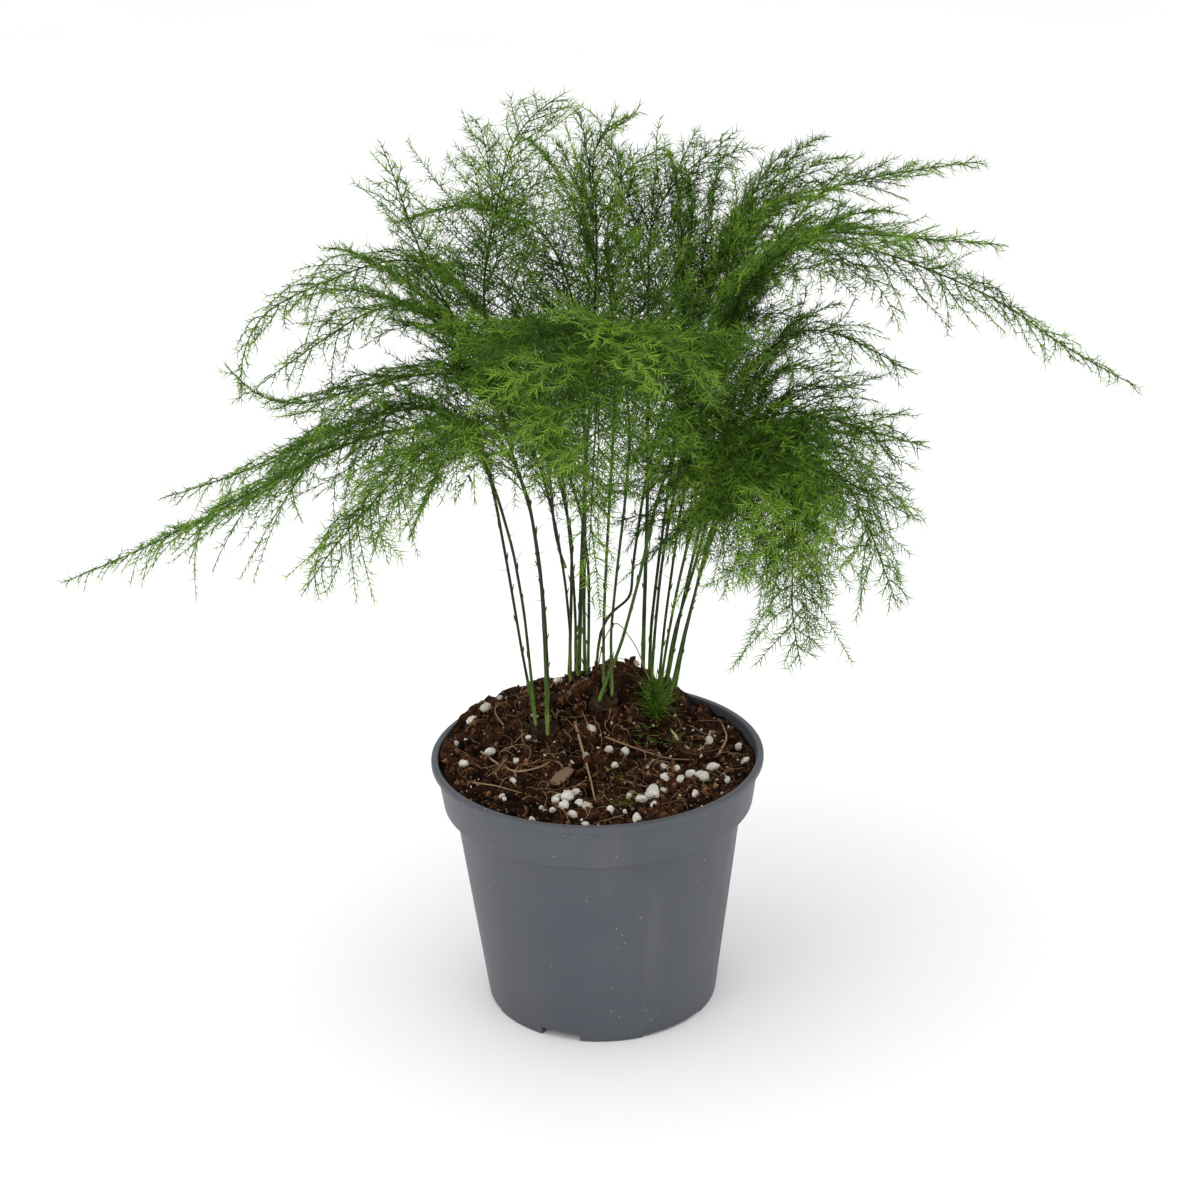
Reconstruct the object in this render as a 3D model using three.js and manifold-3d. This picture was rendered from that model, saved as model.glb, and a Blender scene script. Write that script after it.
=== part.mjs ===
// Potted asparagus fern: a plastic nursery pot, its potting mix, four root crowns and the
// wiry shoots that rise from them, each a bare stem that ends in a flat, feathery frond.
// Millimetres, +Z up, -Y is the front. The origin is the centre of the footprint, on the
// surface the pot stands on.

import * as THREE from 'three';
import { mergeVertices } from 'three/addons/utils/BufferGeometryUtils.js';
import Module from 'manifold-3d';

const wasm = await Module();
wasm.setup();

// ---------------------------------------------------------------- driving dimensions

const GAP = 0.3; // clearance between neighbouring pieces
const TURN = 2 * Math.PI;
const UP = new THREE.Vector3(0, 0, 1);

const POT = {
  height: 96,
  rimRadius: 60, // a 12 cm pot
  lipDepth: 2.6,
  lipOverhang: 1.8,
  ledgeHeight: 78.1,
  collarFootRadius: 56,
  wallTopRadius: 52.2,
  footRadius: 42.2,
  wall: 1.0,
  floorUnderside: 3.2,
  footRingWidth: 3,
  segments: 40,
};

const DRAIN_NOTCH = { first: -22, width: 15, height: 3 };
const RELIEF_NOTCH = { first: 38, width: 28, height: 1 };
const NOTCH_STEP = 120; // degrees between notches of one kind
const DRAIN_HOLES = { count: 6, radius: 4, ring: 30, sides: 10 };

// Low swells of the soil surface: centre, height and spread of each.
const SOIL_LEVEL = 93;
const SOIL_SWELLS = [
  { x: -25, y: 32, rise: 8, spread: 26 },
  { x: 9, y: 38, rise: 9, spread: 17 },
  { x: 9, y: 36, rise: 12, spread: 6.5 },
  { x: 40, y: 5, rise: -2, spread: 16 },
];

const CROWNS = [
  { name: 'crown_front_left', x: -19.5, y: 13, along: 8, across: 7 },
  { name: 'crown_back_left', x: -5, y: 45.5, along: 9.5, across: 7 },
  { name: 'crown_centre', x: 2.5, y: 24, along: 6.5, across: 5.5 },
  { name: 'crown_right', x: 23, y: 41.5, along: 10, across: 8 },
];
const CROWN_HALF_HEIGHT = 6;
const CROWN_SINK = 3; // how far a crown's middle lies under the soil surface

// Each shoot: its crown, the point of its route where the bare stem becomes the frond (knee),
// its longest side branch (reach), how long the branches stay towards the tip (fullness), how
// much they droop, the roll of the frond's plane in degrees, the stem's radius (girth), and the
// route from the soil to the tip. A fork has no crown: it leaves another stem.
const SHOOTS = [
  { name: '01', crown: 0, knee: 5, reach: 56, fullness: 1.0, droop: 0.25, roll: 8,
    girth: 0.75, route: [
    [-22, 12], [-23, 12, 116], [-26, 9, 158], [-30, 6, 182], [-34, 2, 199], [-40, -4, 217],
    [-52, -11, 225], [-78, -19, 223], [-108, -23, 210], [-131, -20, 197], [-154, -14, 184],
    [-185, -4, 168]] },
  { name: '02', crown: 0, knee: 3, reach: 44, fullness: 2.4, droop: 0.1, roll: 0,
    girth: 0.95, route: [
    [-18, 12], [-18, 12, 137], [-20, 9, 179], [-28, 3, 213], [-33, 2, 240], [-35, 4, 264],
    [-33, 8, 280], [-29, 14, 294], [-26, 20, 310], [-18, 26, 321], [-6, 34, 327]] },
  { name: '03', crown: 1, knee: 3, reach: 46, fullness: 1.6, droop: 0.1, roll: 0,
    girth: 0.85, route: [
    [-10, 46], [-8.5, 44, 133], [-7.5, 41, 165], [-12, 34, 192], [-25, 24, 222],
    [-41, 12, 248], [-51, 4, 270], [-57, 0, 288], [-61, -2, 304], [-66, -4, 320]] },
  { name: '03_fork', crown: null, knee: 2, reach: 42, fullness: 1.1, droop: 0.2, roll: -6,
    girth: 0.6, route: [
    [-10, 43.6, 150], [-12, 43.6, 154], [-14, 42, 169], [-16, 39, 202], [-27, 36, 235],
    [-41, 28, 259], [-54, 17, 274], [-68, 6, 278], [-86, -4, 274], [-109, -12, 265],
    [-115, -15, 254], [-116, -18, 238]] },
  { name: '04', crown: 1, knee: 3, reach: 46, fullness: 2.4, droop: 0.1, roll: 0,
    girth: 1.1, route: [
    [-6.5, 45], [-4.5, 43, 144], [-3.5, 41, 165], [-1, 41, 200], [2, 42, 238], [4, 43, 270],
    [4, 44, 291], [2, 45, 306], [7, 46, 313], [20, 48, 317]] },
  { name: '05', crown: 1, knee: 3, reach: 50, fullness: 1.5, droop: 0.1, roll: 0,
    girth: 0.85, route: [
    [-4, 48.5], [-3.5, 49, 142], [-2, 52, 174], [-2, 57, 211], [-5, 65, 246], [-14, 75, 268],
    [-31, 84, 277], [-49, 92, 275], [-70, 97, 268]] },
  { name: '06', crown: 1, knee: 3, reach: 52, fullness: 1.2, droop: 0.15, roll: 6,
    girth: 0.75, route: [
    [-3, 43], [-2, 38, 130], [-2, 29, 166], [-8, 18, 197], [-20, 6, 224], [-37, -6, 240],
    [-56, -16, 245], [-79, -24, 242], [-99, -28, 238], [-110, -28, 242], [-119, -26, 252]] },
  { name: '07', winds: true, crown: 1, knee: 7, reach: 56, fullness: 1.4, droop: 0.1, roll: 0,
    girth: 0.7, route: [
    [0, 46.5], [2, 46, 122], [6, 45, 132], [11, 43, 135.5], [15.5, 42, 138], [14, 42, 145],
    [16, 44, 158], [19, 48, 176], [26, 54, 204], [38, 66, 234], [54, 80, 253], [75, 94, 262],
    [100, 106, 260]] },
  { name: '08', crown: 2, knee: 4, reach: 52, fullness: 1.8, droop: 0.1, roll: 0,
    girth: 0.75, route: [
    [3, 27.5], [3, 32, 122], [4, 35, 141], [6, 39, 170], [9, 47, 207], [9, 60, 241],
    [8, 75, 266], [11, 90, 281], [19, 101, 288], [32, 108, 292]] },
  { name: '09', crown: 2, knee: 5, reach: 38, fullness: 1.4, droop: 0.3, roll: 10,
    girth: 0.85, route: [
    [0, 22], [3, 21, 110], [8, 21, 124], [13, 19, 140], [18, 16, 163], [22, 11, 184],
    [31, -1, 214], [39, -15, 230], [47, -28, 228], [49, -38, 216], [47, -45, 201],
    [51, -50, 178]] },
  { name: '10', crown: 2, knee: 4, reach: 62, fullness: 1.8, droop: 0.15, roll: 0,
    girth: 0.7, route: [
    [6, 24], [5.5, 27, 123], [7, 25, 143], [11, 20, 176], [14, 10, 211], [12, -6, 243],
    [9, -28, 262], [5, -54, 268], [3, -80, 260], [1, -100, 243], [-1, -113, 217]] },
  { name: '11', crown: 3, knee: 3, reach: 46, fullness: 2.2, droop: 0.1, roll: 0,
    girth: 1.05, route: [
    [17.5, 43.5], [19, 42, 143], [20.5, 41, 176], [21, 44, 214], [22, 47, 254], [23, 49, 277],
    [31, 52, 291], [41, 56, 298], [54, 60, 307]] },
  { name: '12', crown: 3, knee: 3, reach: 52, fullness: 1.2, droop: 0.1, roll: 0,
    girth: 0.8, route: [
    [20, 46.5], [21.5, 46, 129], [26, 45, 163], [31, 45, 199], [38, 48, 235], [50, 54, 266],
    [64, 58, 281], [89, 62, 286], [115, 66, 290], [143, 70, 292]] },
  { name: '13', crown: 3, knee: 3, reach: 58, fullness: 1.1, droop: 0.2, roll: 8,
    girth: 0.75, route: [
    [20.5, 41.5], [23.5, 40, 137], [27, 36, 166], [34, 32, 200], [45, 29, 236], [60, 26, 266],
    [77, 20, 279], [97, 14, 276], [120, 8, 268], [142, 4, 258], [160, 0, 245],
    [187, -4, 230]] },
  { name: '14', crown: 3, knee: 4, reach: 54, fullness: 1.5, droop: 0.2, roll: 6,
    girth: 0.75, route: [
    [26, 45.5], [28.5, 44, 118], [33, 42, 135], [39, 37, 158], [45, 29, 188], [54, 20, 221],
    [66, 10, 247], [81, 1, 252], [96, -6, 246], [110, -11, 239]] },
  { name: '15', crown: 3, knee: 4, reach: 50, fullness: 1.4, droop: 0.25, roll: 8,
    girth: 0.75, route: [
    [26, 40.5], [28.5, 38, 117], [32, 34, 135], [37, 25, 165], [45, 13, 197], [58, -1, 221],
    [72, -13, 228], [91, -23, 224], [112, -31, 220]] },
  { name: '16', crown: 3, knee: 3, reach: 50, fullness: 1.3, droop: 0.3, roll: 10,
    girth: 0.75, route: [
    [29.5, 41.5], [32, 38, 117], [37, 30, 144], [42, 19, 172], [52, 3, 201], [66, -13, 212],
    [82, -25, 209], [97, -33, 202], [109, -39, 197]] },
  { name: '17', crown: 3, knee: 3, reach: 42, fullness: 1.5, droop: 0.3, roll: 12,
    girth: 0.7, route: [
    [23.5, 37.5], [26, 33, 120], [30, 24, 147], [35, 12, 176], [45, -9, 208], [56, -31, 223],
    [65, -48, 216], [66, -58, 198], [64, -64, 180], [67, -70, 160]] },
  { name: '18', crown: 3, knee: 3, reach: 50, fullness: 1.3, droop: 0.1, roll: 0,
    girth: 0.7, route: [
    [23.5, 44.5], [25.5, 42.5, 122], [29, 39, 150], [33, 34, 181], [39, 27, 216],
    [49, 17, 250], [61, 5, 276], [77, -5, 287], [97, -15, 288], [116, -23, 288],
    [135, -31, 288]] },
  { name: '19', crown: 0, knee: 3, reach: 54, fullness: 1.4, droop: 0.35, roll: 10,
    girth: 0.75, route: [
    [-18, 8], [-17, 4, 130], [-18, -3, 163], [-21, -15, 197], [-29, -31, 226],
    [-40, -49, 238], [-55, -65, 233], [-70, -77, 221], [-81, -86, 211], [-91, -93, 198]] },
  { name: '20', crown: 0, knee: 3, reach: 50, fullness: 1.2, droop: 0.3, roll: 6,
    girth: 0.75, route: [
    [-22, 16.5], [-26, 17, 125], [-30, 18, 157], [-34, 18, 187], [-41, 17, 212],
    [-55, 16, 223], [-76, 14, 220], [-101, 12, 211], [-122, 10, 202], [-150, 8, 194]] },
  { name: '21', crown: 1, knee: 3, reach: 54, fullness: 1.5, droop: 0.15, roll: 0,
    girth: 0.75, route: [
    [-7.5, 50], [-7, 53, 134], [-9, 59, 164], [-12, 68, 192], [-18, 79, 222], [-27, 90, 242],
    [-40, 98, 252], [-57, 103, 250], [-76, 106, 242]] },
  { name: '22', crown: 1, knee: 3, reach: 44, fullness: 1.2, droop: 0.2, roll: 8,
    girth: 0.7, route: [
    [-9.5, 42], [-9, 36, 131], [-12, 29, 165], [-17, 21, 195], [-27, 11, 223],
    [-40, 1, 250], [-53, -9, 266], [-66, -17, 270], [-80, -24, 264], [-99, -30, 253],
    [-108, -32, 247]] },
  { name: '23', crown: 3, knee: 3, reach: 40, fullness: 1.3, droop: 0.3, roll: 10,
    girth: 0.7, route: [
    [27.5, 37], [31.5, 31, 122], [37, 22, 149], [43, 8, 178], [55, -14, 206], [68, -33, 222],
    [82, -48, 217], [91, -58, 200], [95, -62, 188], [99, -64, 177]] },
];

const STEM = { sides: 5, ringSpacing: 26, windingSpacing: 8, baseSwell: 1.45 };
const RACHIS = { sides: 4, ringSpacing: 15, tipRadius: 0.3 };
const LATERAL = {
  sides: 3,
  spacing: 8.5, // between one branch and the next, which leaves the other side
  firstAt: 6,
  bareTip: 0.86, // share of the frond that has side branches
  angle: 52, // degrees between branch and rachis at the frond's foot
  tipAngle: 36,
  thickness: 0.55, // share of the rachis's radius
  shortest: 7,
  tilts: [0, 9, -9, 18, -18, 27, -27, 36, -36],
  shares: [1, 0.85, 0.7, 0.55, 0.4],
};

const NEW_SHOOT = { x: 22, y: 24.5, needles: 9, needleLength: 17, needleRadius: 0.7, knob: 3.2 };

const PERLITE = [
  { name: 'perlite_left', x: -48, y: -7, size: 2.3 },
  { name: 'perlite_right', x: 37, y: -17, size: 2.7 },
  { name: 'perlite_front', x: 19, y: -31, size: 2.4 },
];

const BARK_CHIP = { x: -13, y: -17, length: 12, width: 4.4, thickness: 1.6, heading: 62 };
const SURFACE_ROOT = { radius: 0.65, sides: 5, route: [[27, 18], [31, 9], [36, 5], [40, 11], [42, 21]] };

const COLOURS = {
  pot: { color: 0x5f6268, roughness: 0.5, metalness: 0 },
  soil: { color: 0x3d2c20, roughness: 0.95, metalness: 0 },
  crown: { color: 0x6d6a45, roughness: 0.8, metalness: 0 },
  stem: { color: 0x2f3a1c, roughness: 0.55, metalness: 0 },
  frond: { color: 0x4c7a2a, roughness: 0.6, metalness: 0 },
  perlite: { color: 0xe6e1d8, roughness: 0.9, metalness: 0 },
  bark: { color: 0x8a7152, roughness: 0.9, metalness: 0 },
};

// ---------------------------------------------------------------- small helpers

const radians = (degrees) => (degrees * Math.PI) / 180;
const mix = (a, b, t) => a + (b - a) * t;
const vector = ([x, y, z]) => new THREE.Vector3(x, y, z);

/** A closed geometry as a solid that can be cut and joined. */
function solidOf(geometry) {
  const bare = geometry.clone();
  bare.deleteAttribute('normal');
  bare.deleteAttribute('uv');
  const welded = mergeVertices(bare, 1e-4);
  return new wasm.Manifold(new wasm.Mesh({
    numProp: 3,
    vertProperties: new Float32Array(welded.attributes.position.array),
    triVerts: new Uint32Array(welded.index.array),
  }));
}

/** A solid back as a geometry. */
function geometryOf(solid) {
  const mesh = solid.getMesh();
  const geometry = new THREE.BufferGeometry();
  geometry.setAttribute('position', new THREE.BufferAttribute(mesh.vertProperties, 3));
  geometry.setIndex(new THREE.BufferAttribute(mesh.triVerts, 1));
  geometry.computeVertexNormals();
  return geometry;
}

/** A closed skin over rings of equal count, with a fan from a point at each end. */
function skin(rings, firstPoint, lastPoint) {
  const count = rings[0].length;
  const points = [firstPoint, ...rings.flat(), lastPoint];
  const last = points.length - 1;
  const at = (ring, i) => 1 + ring * count + (i % count);
  const faces = [];
  for (let i = 0; i < count; i++) {
    faces.push(0, at(0, i + 1), at(0, i));
    for (let ring = 0; ring + 1 < rings.length; ring++) {
      faces.push(at(ring, i), at(ring, i + 1), at(ring + 1, i + 1));
      faces.push(at(ring, i), at(ring + 1, i + 1), at(ring + 1, i));
    }
    faces.push(last, at(rings.length - 1, i), at(rings.length - 1, i + 1));
  }
  const geometry = new THREE.BufferGeometry();
  geometry.setFromPoints(points);
  geometry.setIndex(faces);
  geometry.computeVertexNormals();
  return geometry;
}

/** A round, tapered rod along centres; a last radius of 0 gives it a point. */
function rod(centres, radii, sides) {
  const rings = [];
  let across = null;
  centres.forEach((centre, i) => {
    const before = centres[Math.max(i - 1, 0)];
    const after = centres[Math.min(i + 1, centres.length - 1)];
    const along = after.clone().sub(before).normalize();
    if (!across) across = Math.abs(along.z) > 0.9 ? new THREE.Vector3(1, 0, 0) : UP.clone();
    across = across.clone().addScaledVector(along, -across.dot(along)).normalize();
    const other = along.clone().cross(across);
    if (radii[i] === 0) return;
    rings.push(Array.from({ length: sides }, (_, k) => {
      const turn = (k / sides) * TURN;
      return centre.clone()
        .addScaledVector(across, radii[i] * Math.cos(turn))
        .addScaledVector(other, radii[i] * Math.sin(turn));
    }));
  });
  return skin(rings, centres[0], centres[centres.length - 1]);
}

// ---------------------------------------------------------------- pot

/** Radius of the wall's or the collar's outer face at a height. */
function wallRadius(z) {
  return mix(POT.footRadius, POT.wallTopRadius, z / POT.ledgeHeight);
}

function collarRadius(z) {
  const top = POT.height - POT.lipDepth;
  const topRadius = POT.rimRadius - POT.lipOverhang;
  return mix(POT.collarFootRadius, topRadius, (z - POT.ledgeHeight) / (top - POT.ledgeHeight));
}

function potProfile() {
  const { height, rimRadius, lipDepth, ledgeHeight, wall, floorUnderside } = POT;
  const inner = (z) => wallRadius(z) - wall;
  const collarInner = (z) => collarRadius(z) - wall;
  const ringInner = POT.footRadius - POT.footRingWidth;
  const lipFoot = height - lipDepth;
  const floorTop = floorUnderside + wall;
  const ledgeTop = ledgeHeight + wall;
  return [
    [0, floorUnderside], [ringInner, floorUnderside], [ringInner + 0.3, 0.3],
    [ringInner + 0.6, 0], [POT.footRadius - 0.4, 0], [POT.footRadius, 0.5],
    [wallRadius(ledgeHeight), ledgeHeight], [POT.collarFootRadius - 0.5, ledgeHeight],
    [POT.collarFootRadius, ledgeHeight + 0.6], [collarRadius(lipFoot), lipFoot],
    [rimRadius - 0.5, lipFoot + 0.2], [rimRadius, lipFoot + 0.8], [rimRadius, height - 0.7],
    [rimRadius - 0.6, height], [collarInner(height) + 0.5, height],
    [collarInner(height), height - 0.6], [collarInner(ledgeTop), ledgeTop],
    [inner(ledgeTop), ledgeTop], [inner(floorTop), floorTop + 0.6],
    [inner(floorTop) - 0.6, floorTop], [0, floorTop],
  ].map(([radius, z]) => new THREE.Vector2(radius, z));
}

/** A block across the foot ring, turned to an angle from the front. */
function footNotch(degrees, width, height) {
  const depth = 3 * POT.footRingWidth;
  const block = new THREE.BoxGeometry(width, depth, 2 * height);
  block.translate(0, -(POT.footRadius - POT.footRingWidth / 2), 0);
  block.rotateZ(radians(degrees));
  return solidOf(block);
}

function drainHole(index) {
  const hole = new THREE.CylinderGeometry(
    DRAIN_HOLES.radius, DRAIN_HOLES.radius, 4 * POT.wall, DRAIN_HOLES.sides);
  hole.rotateX(Math.PI / 2);
  hole.translate(0, -DRAIN_HOLES.ring, POT.floorUnderside + POT.wall / 2);
  hole.rotateZ((index / DRAIN_HOLES.count) * TURN);
  return solidOf(hole);
}

function potGeometry() {
  const lathe = new THREE.LatheGeometry(potProfile(), POT.segments);
  lathe.rotateX(Math.PI / 2);
  let pot = solidOf(lathe);
  for (const notch of [DRAIN_NOTCH, RELIEF_NOTCH]) {
    for (let i = 0; i < 3; i++) {
      pot = pot.subtract(footNotch(notch.first + i * NOTCH_STEP, notch.width, notch.height));
    }
  }
  for (let i = 0; i < DRAIN_HOLES.count; i++) pot = pot.subtract(drainHole(i));
  return geometryOf(pot);
}

// ---------------------------------------------------------------- potting mix

function soilHeight(x, y) {
  return SOIL_SWELLS.reduce((height, swell) => {
    const away = (x - swell.x) ** 2 + (y - swell.y) ** 2;
    return height + swell.rise * Math.exp(-away / (2 * swell.spread ** 2));
  }, SOIL_LEVEL);
}

/** The soil fills the pot's inside to just short of its walls, and heaps up to the back. */
function soilBody() {
  const clear = GAP + 0.15;
  const ledgeTop = POT.ledgeHeight + POT.wall;
  const low = POT.floorUnderside + POT.wall + GAP;
  const circle = (radius, z) => Array.from({ length: POT.segments }, (_, i) => {
    const turn = (i / POT.segments) * TURN;
    const x = radius * Math.cos(turn);
    const y = radius * Math.sin(turn);
    return new THREE.Vector3(x, y, z ?? soilHeight(x, y));
  });
  const edge = collarRadius(SOIL_LEVEL) - POT.wall - clear;
  const neck = wallRadius(ledgeTop) - POT.wall - clear;
  const shoulder = collarRadius(ledgeTop) - POT.wall - clear;
  const surface = [0.86, 0.72, 0.58, 0.44, 0.3, 0.15].map((share) => circle(edge * share));
  return skin([
    circle(wallRadius(low) - POT.wall - 2 * clear, low), circle(neck, ledgeTop + GAP),
    circle(shoulder, ledgeTop + GAP), circle(edge), ...surface,
  ], new THREE.Vector3(0, 0, low), new THREE.Vector3(0, 0, soilHeight(0, 0)));
}

// ---------------------------------------------------------------- what lies in the soil

/** A root crown: a squat, uneven knob. Growth widens it, for the pocket it sits in. */
function crownSolid(crown, growth = 0) {
  const middle = soilHeight(crown.x, crown.y) - CROWN_SINK;
  const knob = new THREE.SphereGeometry(1, 10, 6);
  knob.rotateX(Math.PI / 2);
  knob.scale(crown.along + growth, crown.across + growth, CROWN_HALF_HEIGHT + growth);
  knob.translate(crown.x, crown.y, middle);
  return solidOf(knob);
}

function newShootParts(growth = 0) {
  const { x, y, needles, needleLength, needleRadius, knob } = NEW_SHOOT;
  const foot = new THREE.Vector3(x, y, soilHeight(x, y));
  const bulb = new THREE.SphereGeometry(knob + growth, 8, 5);
  bulb.rotateX(Math.PI / 2);
  bulb.translate(foot.x, foot.y, foot.z);
  let tuft = solidOf(bulb);
  for (let i = 0; i < needles; i++) {
    const turn = (i / needles) * TURN * 2;
    const lean = i === 0 ? 0 : 0.35 + 0.35 * (i / needles);
    const away = new THREE.Vector3(Math.cos(turn) * lean, Math.sin(turn) * lean, 1).normalize();
    const length = needleLength * (1 - 0.4 * (i / needles));
    const tip = foot.clone().addScaledVector(away, length);
    const thick = needleRadius + growth;
    tuft = tuft.add(solidOf(rod([foot, foot.clone().lerp(tip, 0.6), tip], [thick, thick, 0], 3)));
  }
  return tuft;
}

/** A perlite grain: a rounded, slightly dented lump, half bedded in the mix. */
function grainSolid(grain, growth = 0) {
  const lump = new THREE.IcosahedronGeometry(grain.size + growth, 1);
  lump.scale(1.15, 0.9, 0.85);
  lump.rotateZ(grain.x);
  lump.translate(grain.x, grain.y, soilHeight(grain.x, grain.y) + 0.35 * grain.size);
  return solidOf(lump);
}

/** A splinter of bark that lies flat, with pointed ends. */
function chipSolid(growth = 0) {
  const { x, y, length, width, thickness, heading } = BARK_CHIP;
  const outline = new THREE.Shape([
    [-0.5, 0.1], [-0.3, -0.45], [0.25, -0.5], [0.5, -0.1], [0.32, 0.5], [-0.2, 0.42],
  ].map(([u, v]) => new THREE.Vector2(u * (length + 2 * growth), v * (width + 2 * growth))));
  const chip = new THREE.ExtrudeGeometry(outline, {
    depth: thickness + 2 * growth, bevelEnabled: false,
  });
  chip.translate(0, 0, -growth);
  chip.rotateZ(radians(heading));
  chip.translate(x, y, soilHeight(x, y) - thickness / 3);
  return solidOf(chip);
}

function rootSolid(growth = 0) {
  const { radius, sides, route } = SURFACE_ROOT;
  const points = route.map(([x, y]) => new THREE.Vector3(x, y, soilHeight(x, y) + 0.2));
  const centres = new THREE.CatmullRomCurve3(points).getPoints(9);
  return solidOf(rod(centres, centres.map(() => radius + growth), sides));
}

// ---------------------------------------------------------------- shoots

/** A chain of straight pieces: its points, its length, and the point at a distance along it. */
function chain(points) {
  const run = [0];
  for (let i = 1; i < points.length; i++) run.push(run[i - 1] + points[i].distanceTo(points[i - 1]));
  const at = (distance) => {
    let i = 1;
    while (i < points.length - 1 && run[i] < distance) i++;
    const share = (distance - run[i - 1]) / (run[i] - run[i - 1]);
    return points[i - 1].clone().lerp(points[i], share);
  };
  return { points, at, length: run[run.length - 1] };
}

/** A chain whose points are evenly spaced along a curve, between two of its parameters. */
function stations(curve, from, to, spacing) {
  const fine = chain(Array.from({ length: 121 }, (_, i) => curve.getPoint(mix(from, to, i / 120))));
  const count = Math.max(2, Math.round(fine.length / spacing));
  return chain(Array.from({ length: count + 1 }, (_, i) => fine.at((i * fine.length) / count)));
}

function trace(shoot) {
  const [x, y] = shoot.route[0];
  const crown = CROWNS[shoot.crown];
  const start = crown ? [x, y, soilHeight(crown.x, crown.y) - CROWN_SINK / 2] : shoot.route[0];
  const curve = new THREE.CatmullRomCurve3(
    [start, ...shoot.route.slice(1)].map(vector), false, 'centripetal');
  const knee = shoot.knee / (shoot.route.length - 1);
  const stem = stations(curve, 0, knee, shoot.winds ? STEM.windingSpacing : STEM.ringSpacing);
  const frond = stations(curve, knee, 1, RACHIS.ringSpacing);
  const heading = frond.points[frond.points.length - 1].clone().sub(frond.points[0]);
  heading.z = 0;
  return { ...shoot, stem, frond, side: UP.clone().cross(heading).normalize() };
}

/** Leave the clearance between the end of the stem and the start of the frond. */
function frondCentres(frond) {
  return [frond.at(GAP + 0.05), ...frond.points.slice(1)];
}

function stemRadii(shoot) {
  const last = shoot.stem.points.length - 1;
  return shoot.stem.points.map((_, i) => shoot.girth * mix(STEM.baseSwell, 1, Math.sqrt(i / last)));
}

function rachisRadius(shoot, share) {
  return mix(shoot.girth * 0.95, RACHIS.tipRadius, Math.sqrt(share));
}

/** Closest distance between two straight pieces. */
function pieceDistance(a, b) {
  const d1 = a.to.clone().sub(a.from);
  const d2 = b.to.clone().sub(b.from);
  const r = a.from.clone().sub(b.from);
  const [aa, ee, bb] = [d1.dot(d1), d2.dot(d2), d1.dot(d2)];
  const [cc, ff] = [d1.dot(r), d2.dot(r)];
  const clamp = THREE.MathUtils.clamp;
  const spread = aa * ee - bb * bb;
  let s = spread > 1e-9 ? clamp((bb * ff - cc * ee) / spread, 0, 1) : 0;
  const t = clamp((bb * s + ff) / ee, 0, 1);
  s = clamp((bb * t - cc) / aa, 0, 1);
  return a.from.clone().addScaledVector(d1, s).distanceTo(b.from.clone().addScaledVector(d2, t));
}

const taken = []; // every straight piece placed so far, with its shoot and radius

function claim(points, radius, owner) {
  for (let i = 1; i < points.length; i++) {
    taken.push({ from: points[i - 1], to: points[i], radius, owner });
  }
}

function isClear(points, radius, owner) {
  for (let i = 1; i < points.length; i++) {
    const piece = { from: points[i - 1], to: points[i] };
    const size = piece.from.distanceTo(piece.to);
    for (const other of taken) {
      if (other.owner === owner) continue;
      const near = size + other.from.distanceTo(other.to) + 3;
      if (piece.from.distanceTo(other.from) > near) continue;
      if (pieceDistance(piece, other) < radius + other.radius + GAP) return false;
    }
  }
  return true;
}

/** Side branch lengths: long at the frond's foot, then a long narrow tail. */
function lateralReach(share, fullness) {
  const rise = Math.min(1, 0.6 + share * 4);
  return rise * Math.max(0, 1 - (share / LATERAL.bareTip) ** fullness);
}

/** One side branch, bent a little towards the tip, turned by the tilt to pass its neighbours. */
function lateralPath(shoot, distance, side, length, tilt) {
  const { frond } = shoot;
  const share = distance / frond.length;
  const foot = frond.at(distance);
  const along = frond.at(Math.min(distance + 3, frond.length)).sub(frond.at(distance - 3)).normalize();
  const across = shoot.side.clone().addScaledVector(along, -shoot.side.dot(along)).normalize();
  across.applyAxisAngle(along, radians(shoot.roll + tilt * side));
  const angle = radians(mix(LATERAL.angle, LATERAL.tipAngle, share));
  const away = along.clone().multiplyScalar(Math.cos(angle))
    .addScaledVector(across, side * Math.sin(angle));
  const middle = foot.clone().addScaledVector(away, 0.55 * length);
  const tip = foot.clone().addScaledVector(away, 0.94 * length)
    .addScaledVector(along, 0.12 * length).addScaledVector(UP, -shoot.droop * length);
  return [foot, middle, tip];
}

function bestLateral(shoot, distance, side, radius) {
  const full = shoot.reach * lateralReach(distance / shoot.frond.length, shoot.fullness);
  for (const share of LATERAL.shares) {
    if (full * share < LATERAL.shortest) break;
    for (const tilt of LATERAL.tilts) {
      const path = lateralPath(shoot, distance, side, full * share, tilt);
      if (isClear(path, radius, shoot.name)) return path;
    }
  }
  return null;
}

function frondSolid(shoot) {
  const { frond } = shoot;
  const centres = frondCentres(frond);
  const radii = centres.map((_, i) => rachisRadius(shoot, i / (centres.length - 1)));
  radii[radii.length - 1] = 0;
  let solid = solidOf(rod(centres, radii, RACHIS.sides));
  let side = 1;
  for (let at = LATERAL.firstAt; at < LATERAL.bareTip * frond.length; at += LATERAL.spacing) {
    const radius = LATERAL.thickness * rachisRadius(shoot, at / frond.length);
    const path = bestLateral(shoot, at, side, radius);
    side = -side;
    if (!path) continue;
    claim(path, radius, shoot.name);
    solid = solid.add(solidOf(rod(path, [radius, radius * 0.8, 0], LATERAL.sides)));
  }
  return solid;
}

// ---------------------------------------------------------------- assembly

const plant = new THREE.Group();

function add(name, geometry, look) {
  const mesh = new THREE.Mesh(geometry, new THREE.MeshStandardMaterial(COLOURS[look]));
  mesh.name = name;
  plant.add(mesh);
}

const shoots = SHOOTS.map(trace);
const stemRod = (shoot, growth = 0) => solidOf(
  rod(shoot.stem.points, stemRadii(shoot).map((radius) => radius + growth), STEM.sides));

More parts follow.
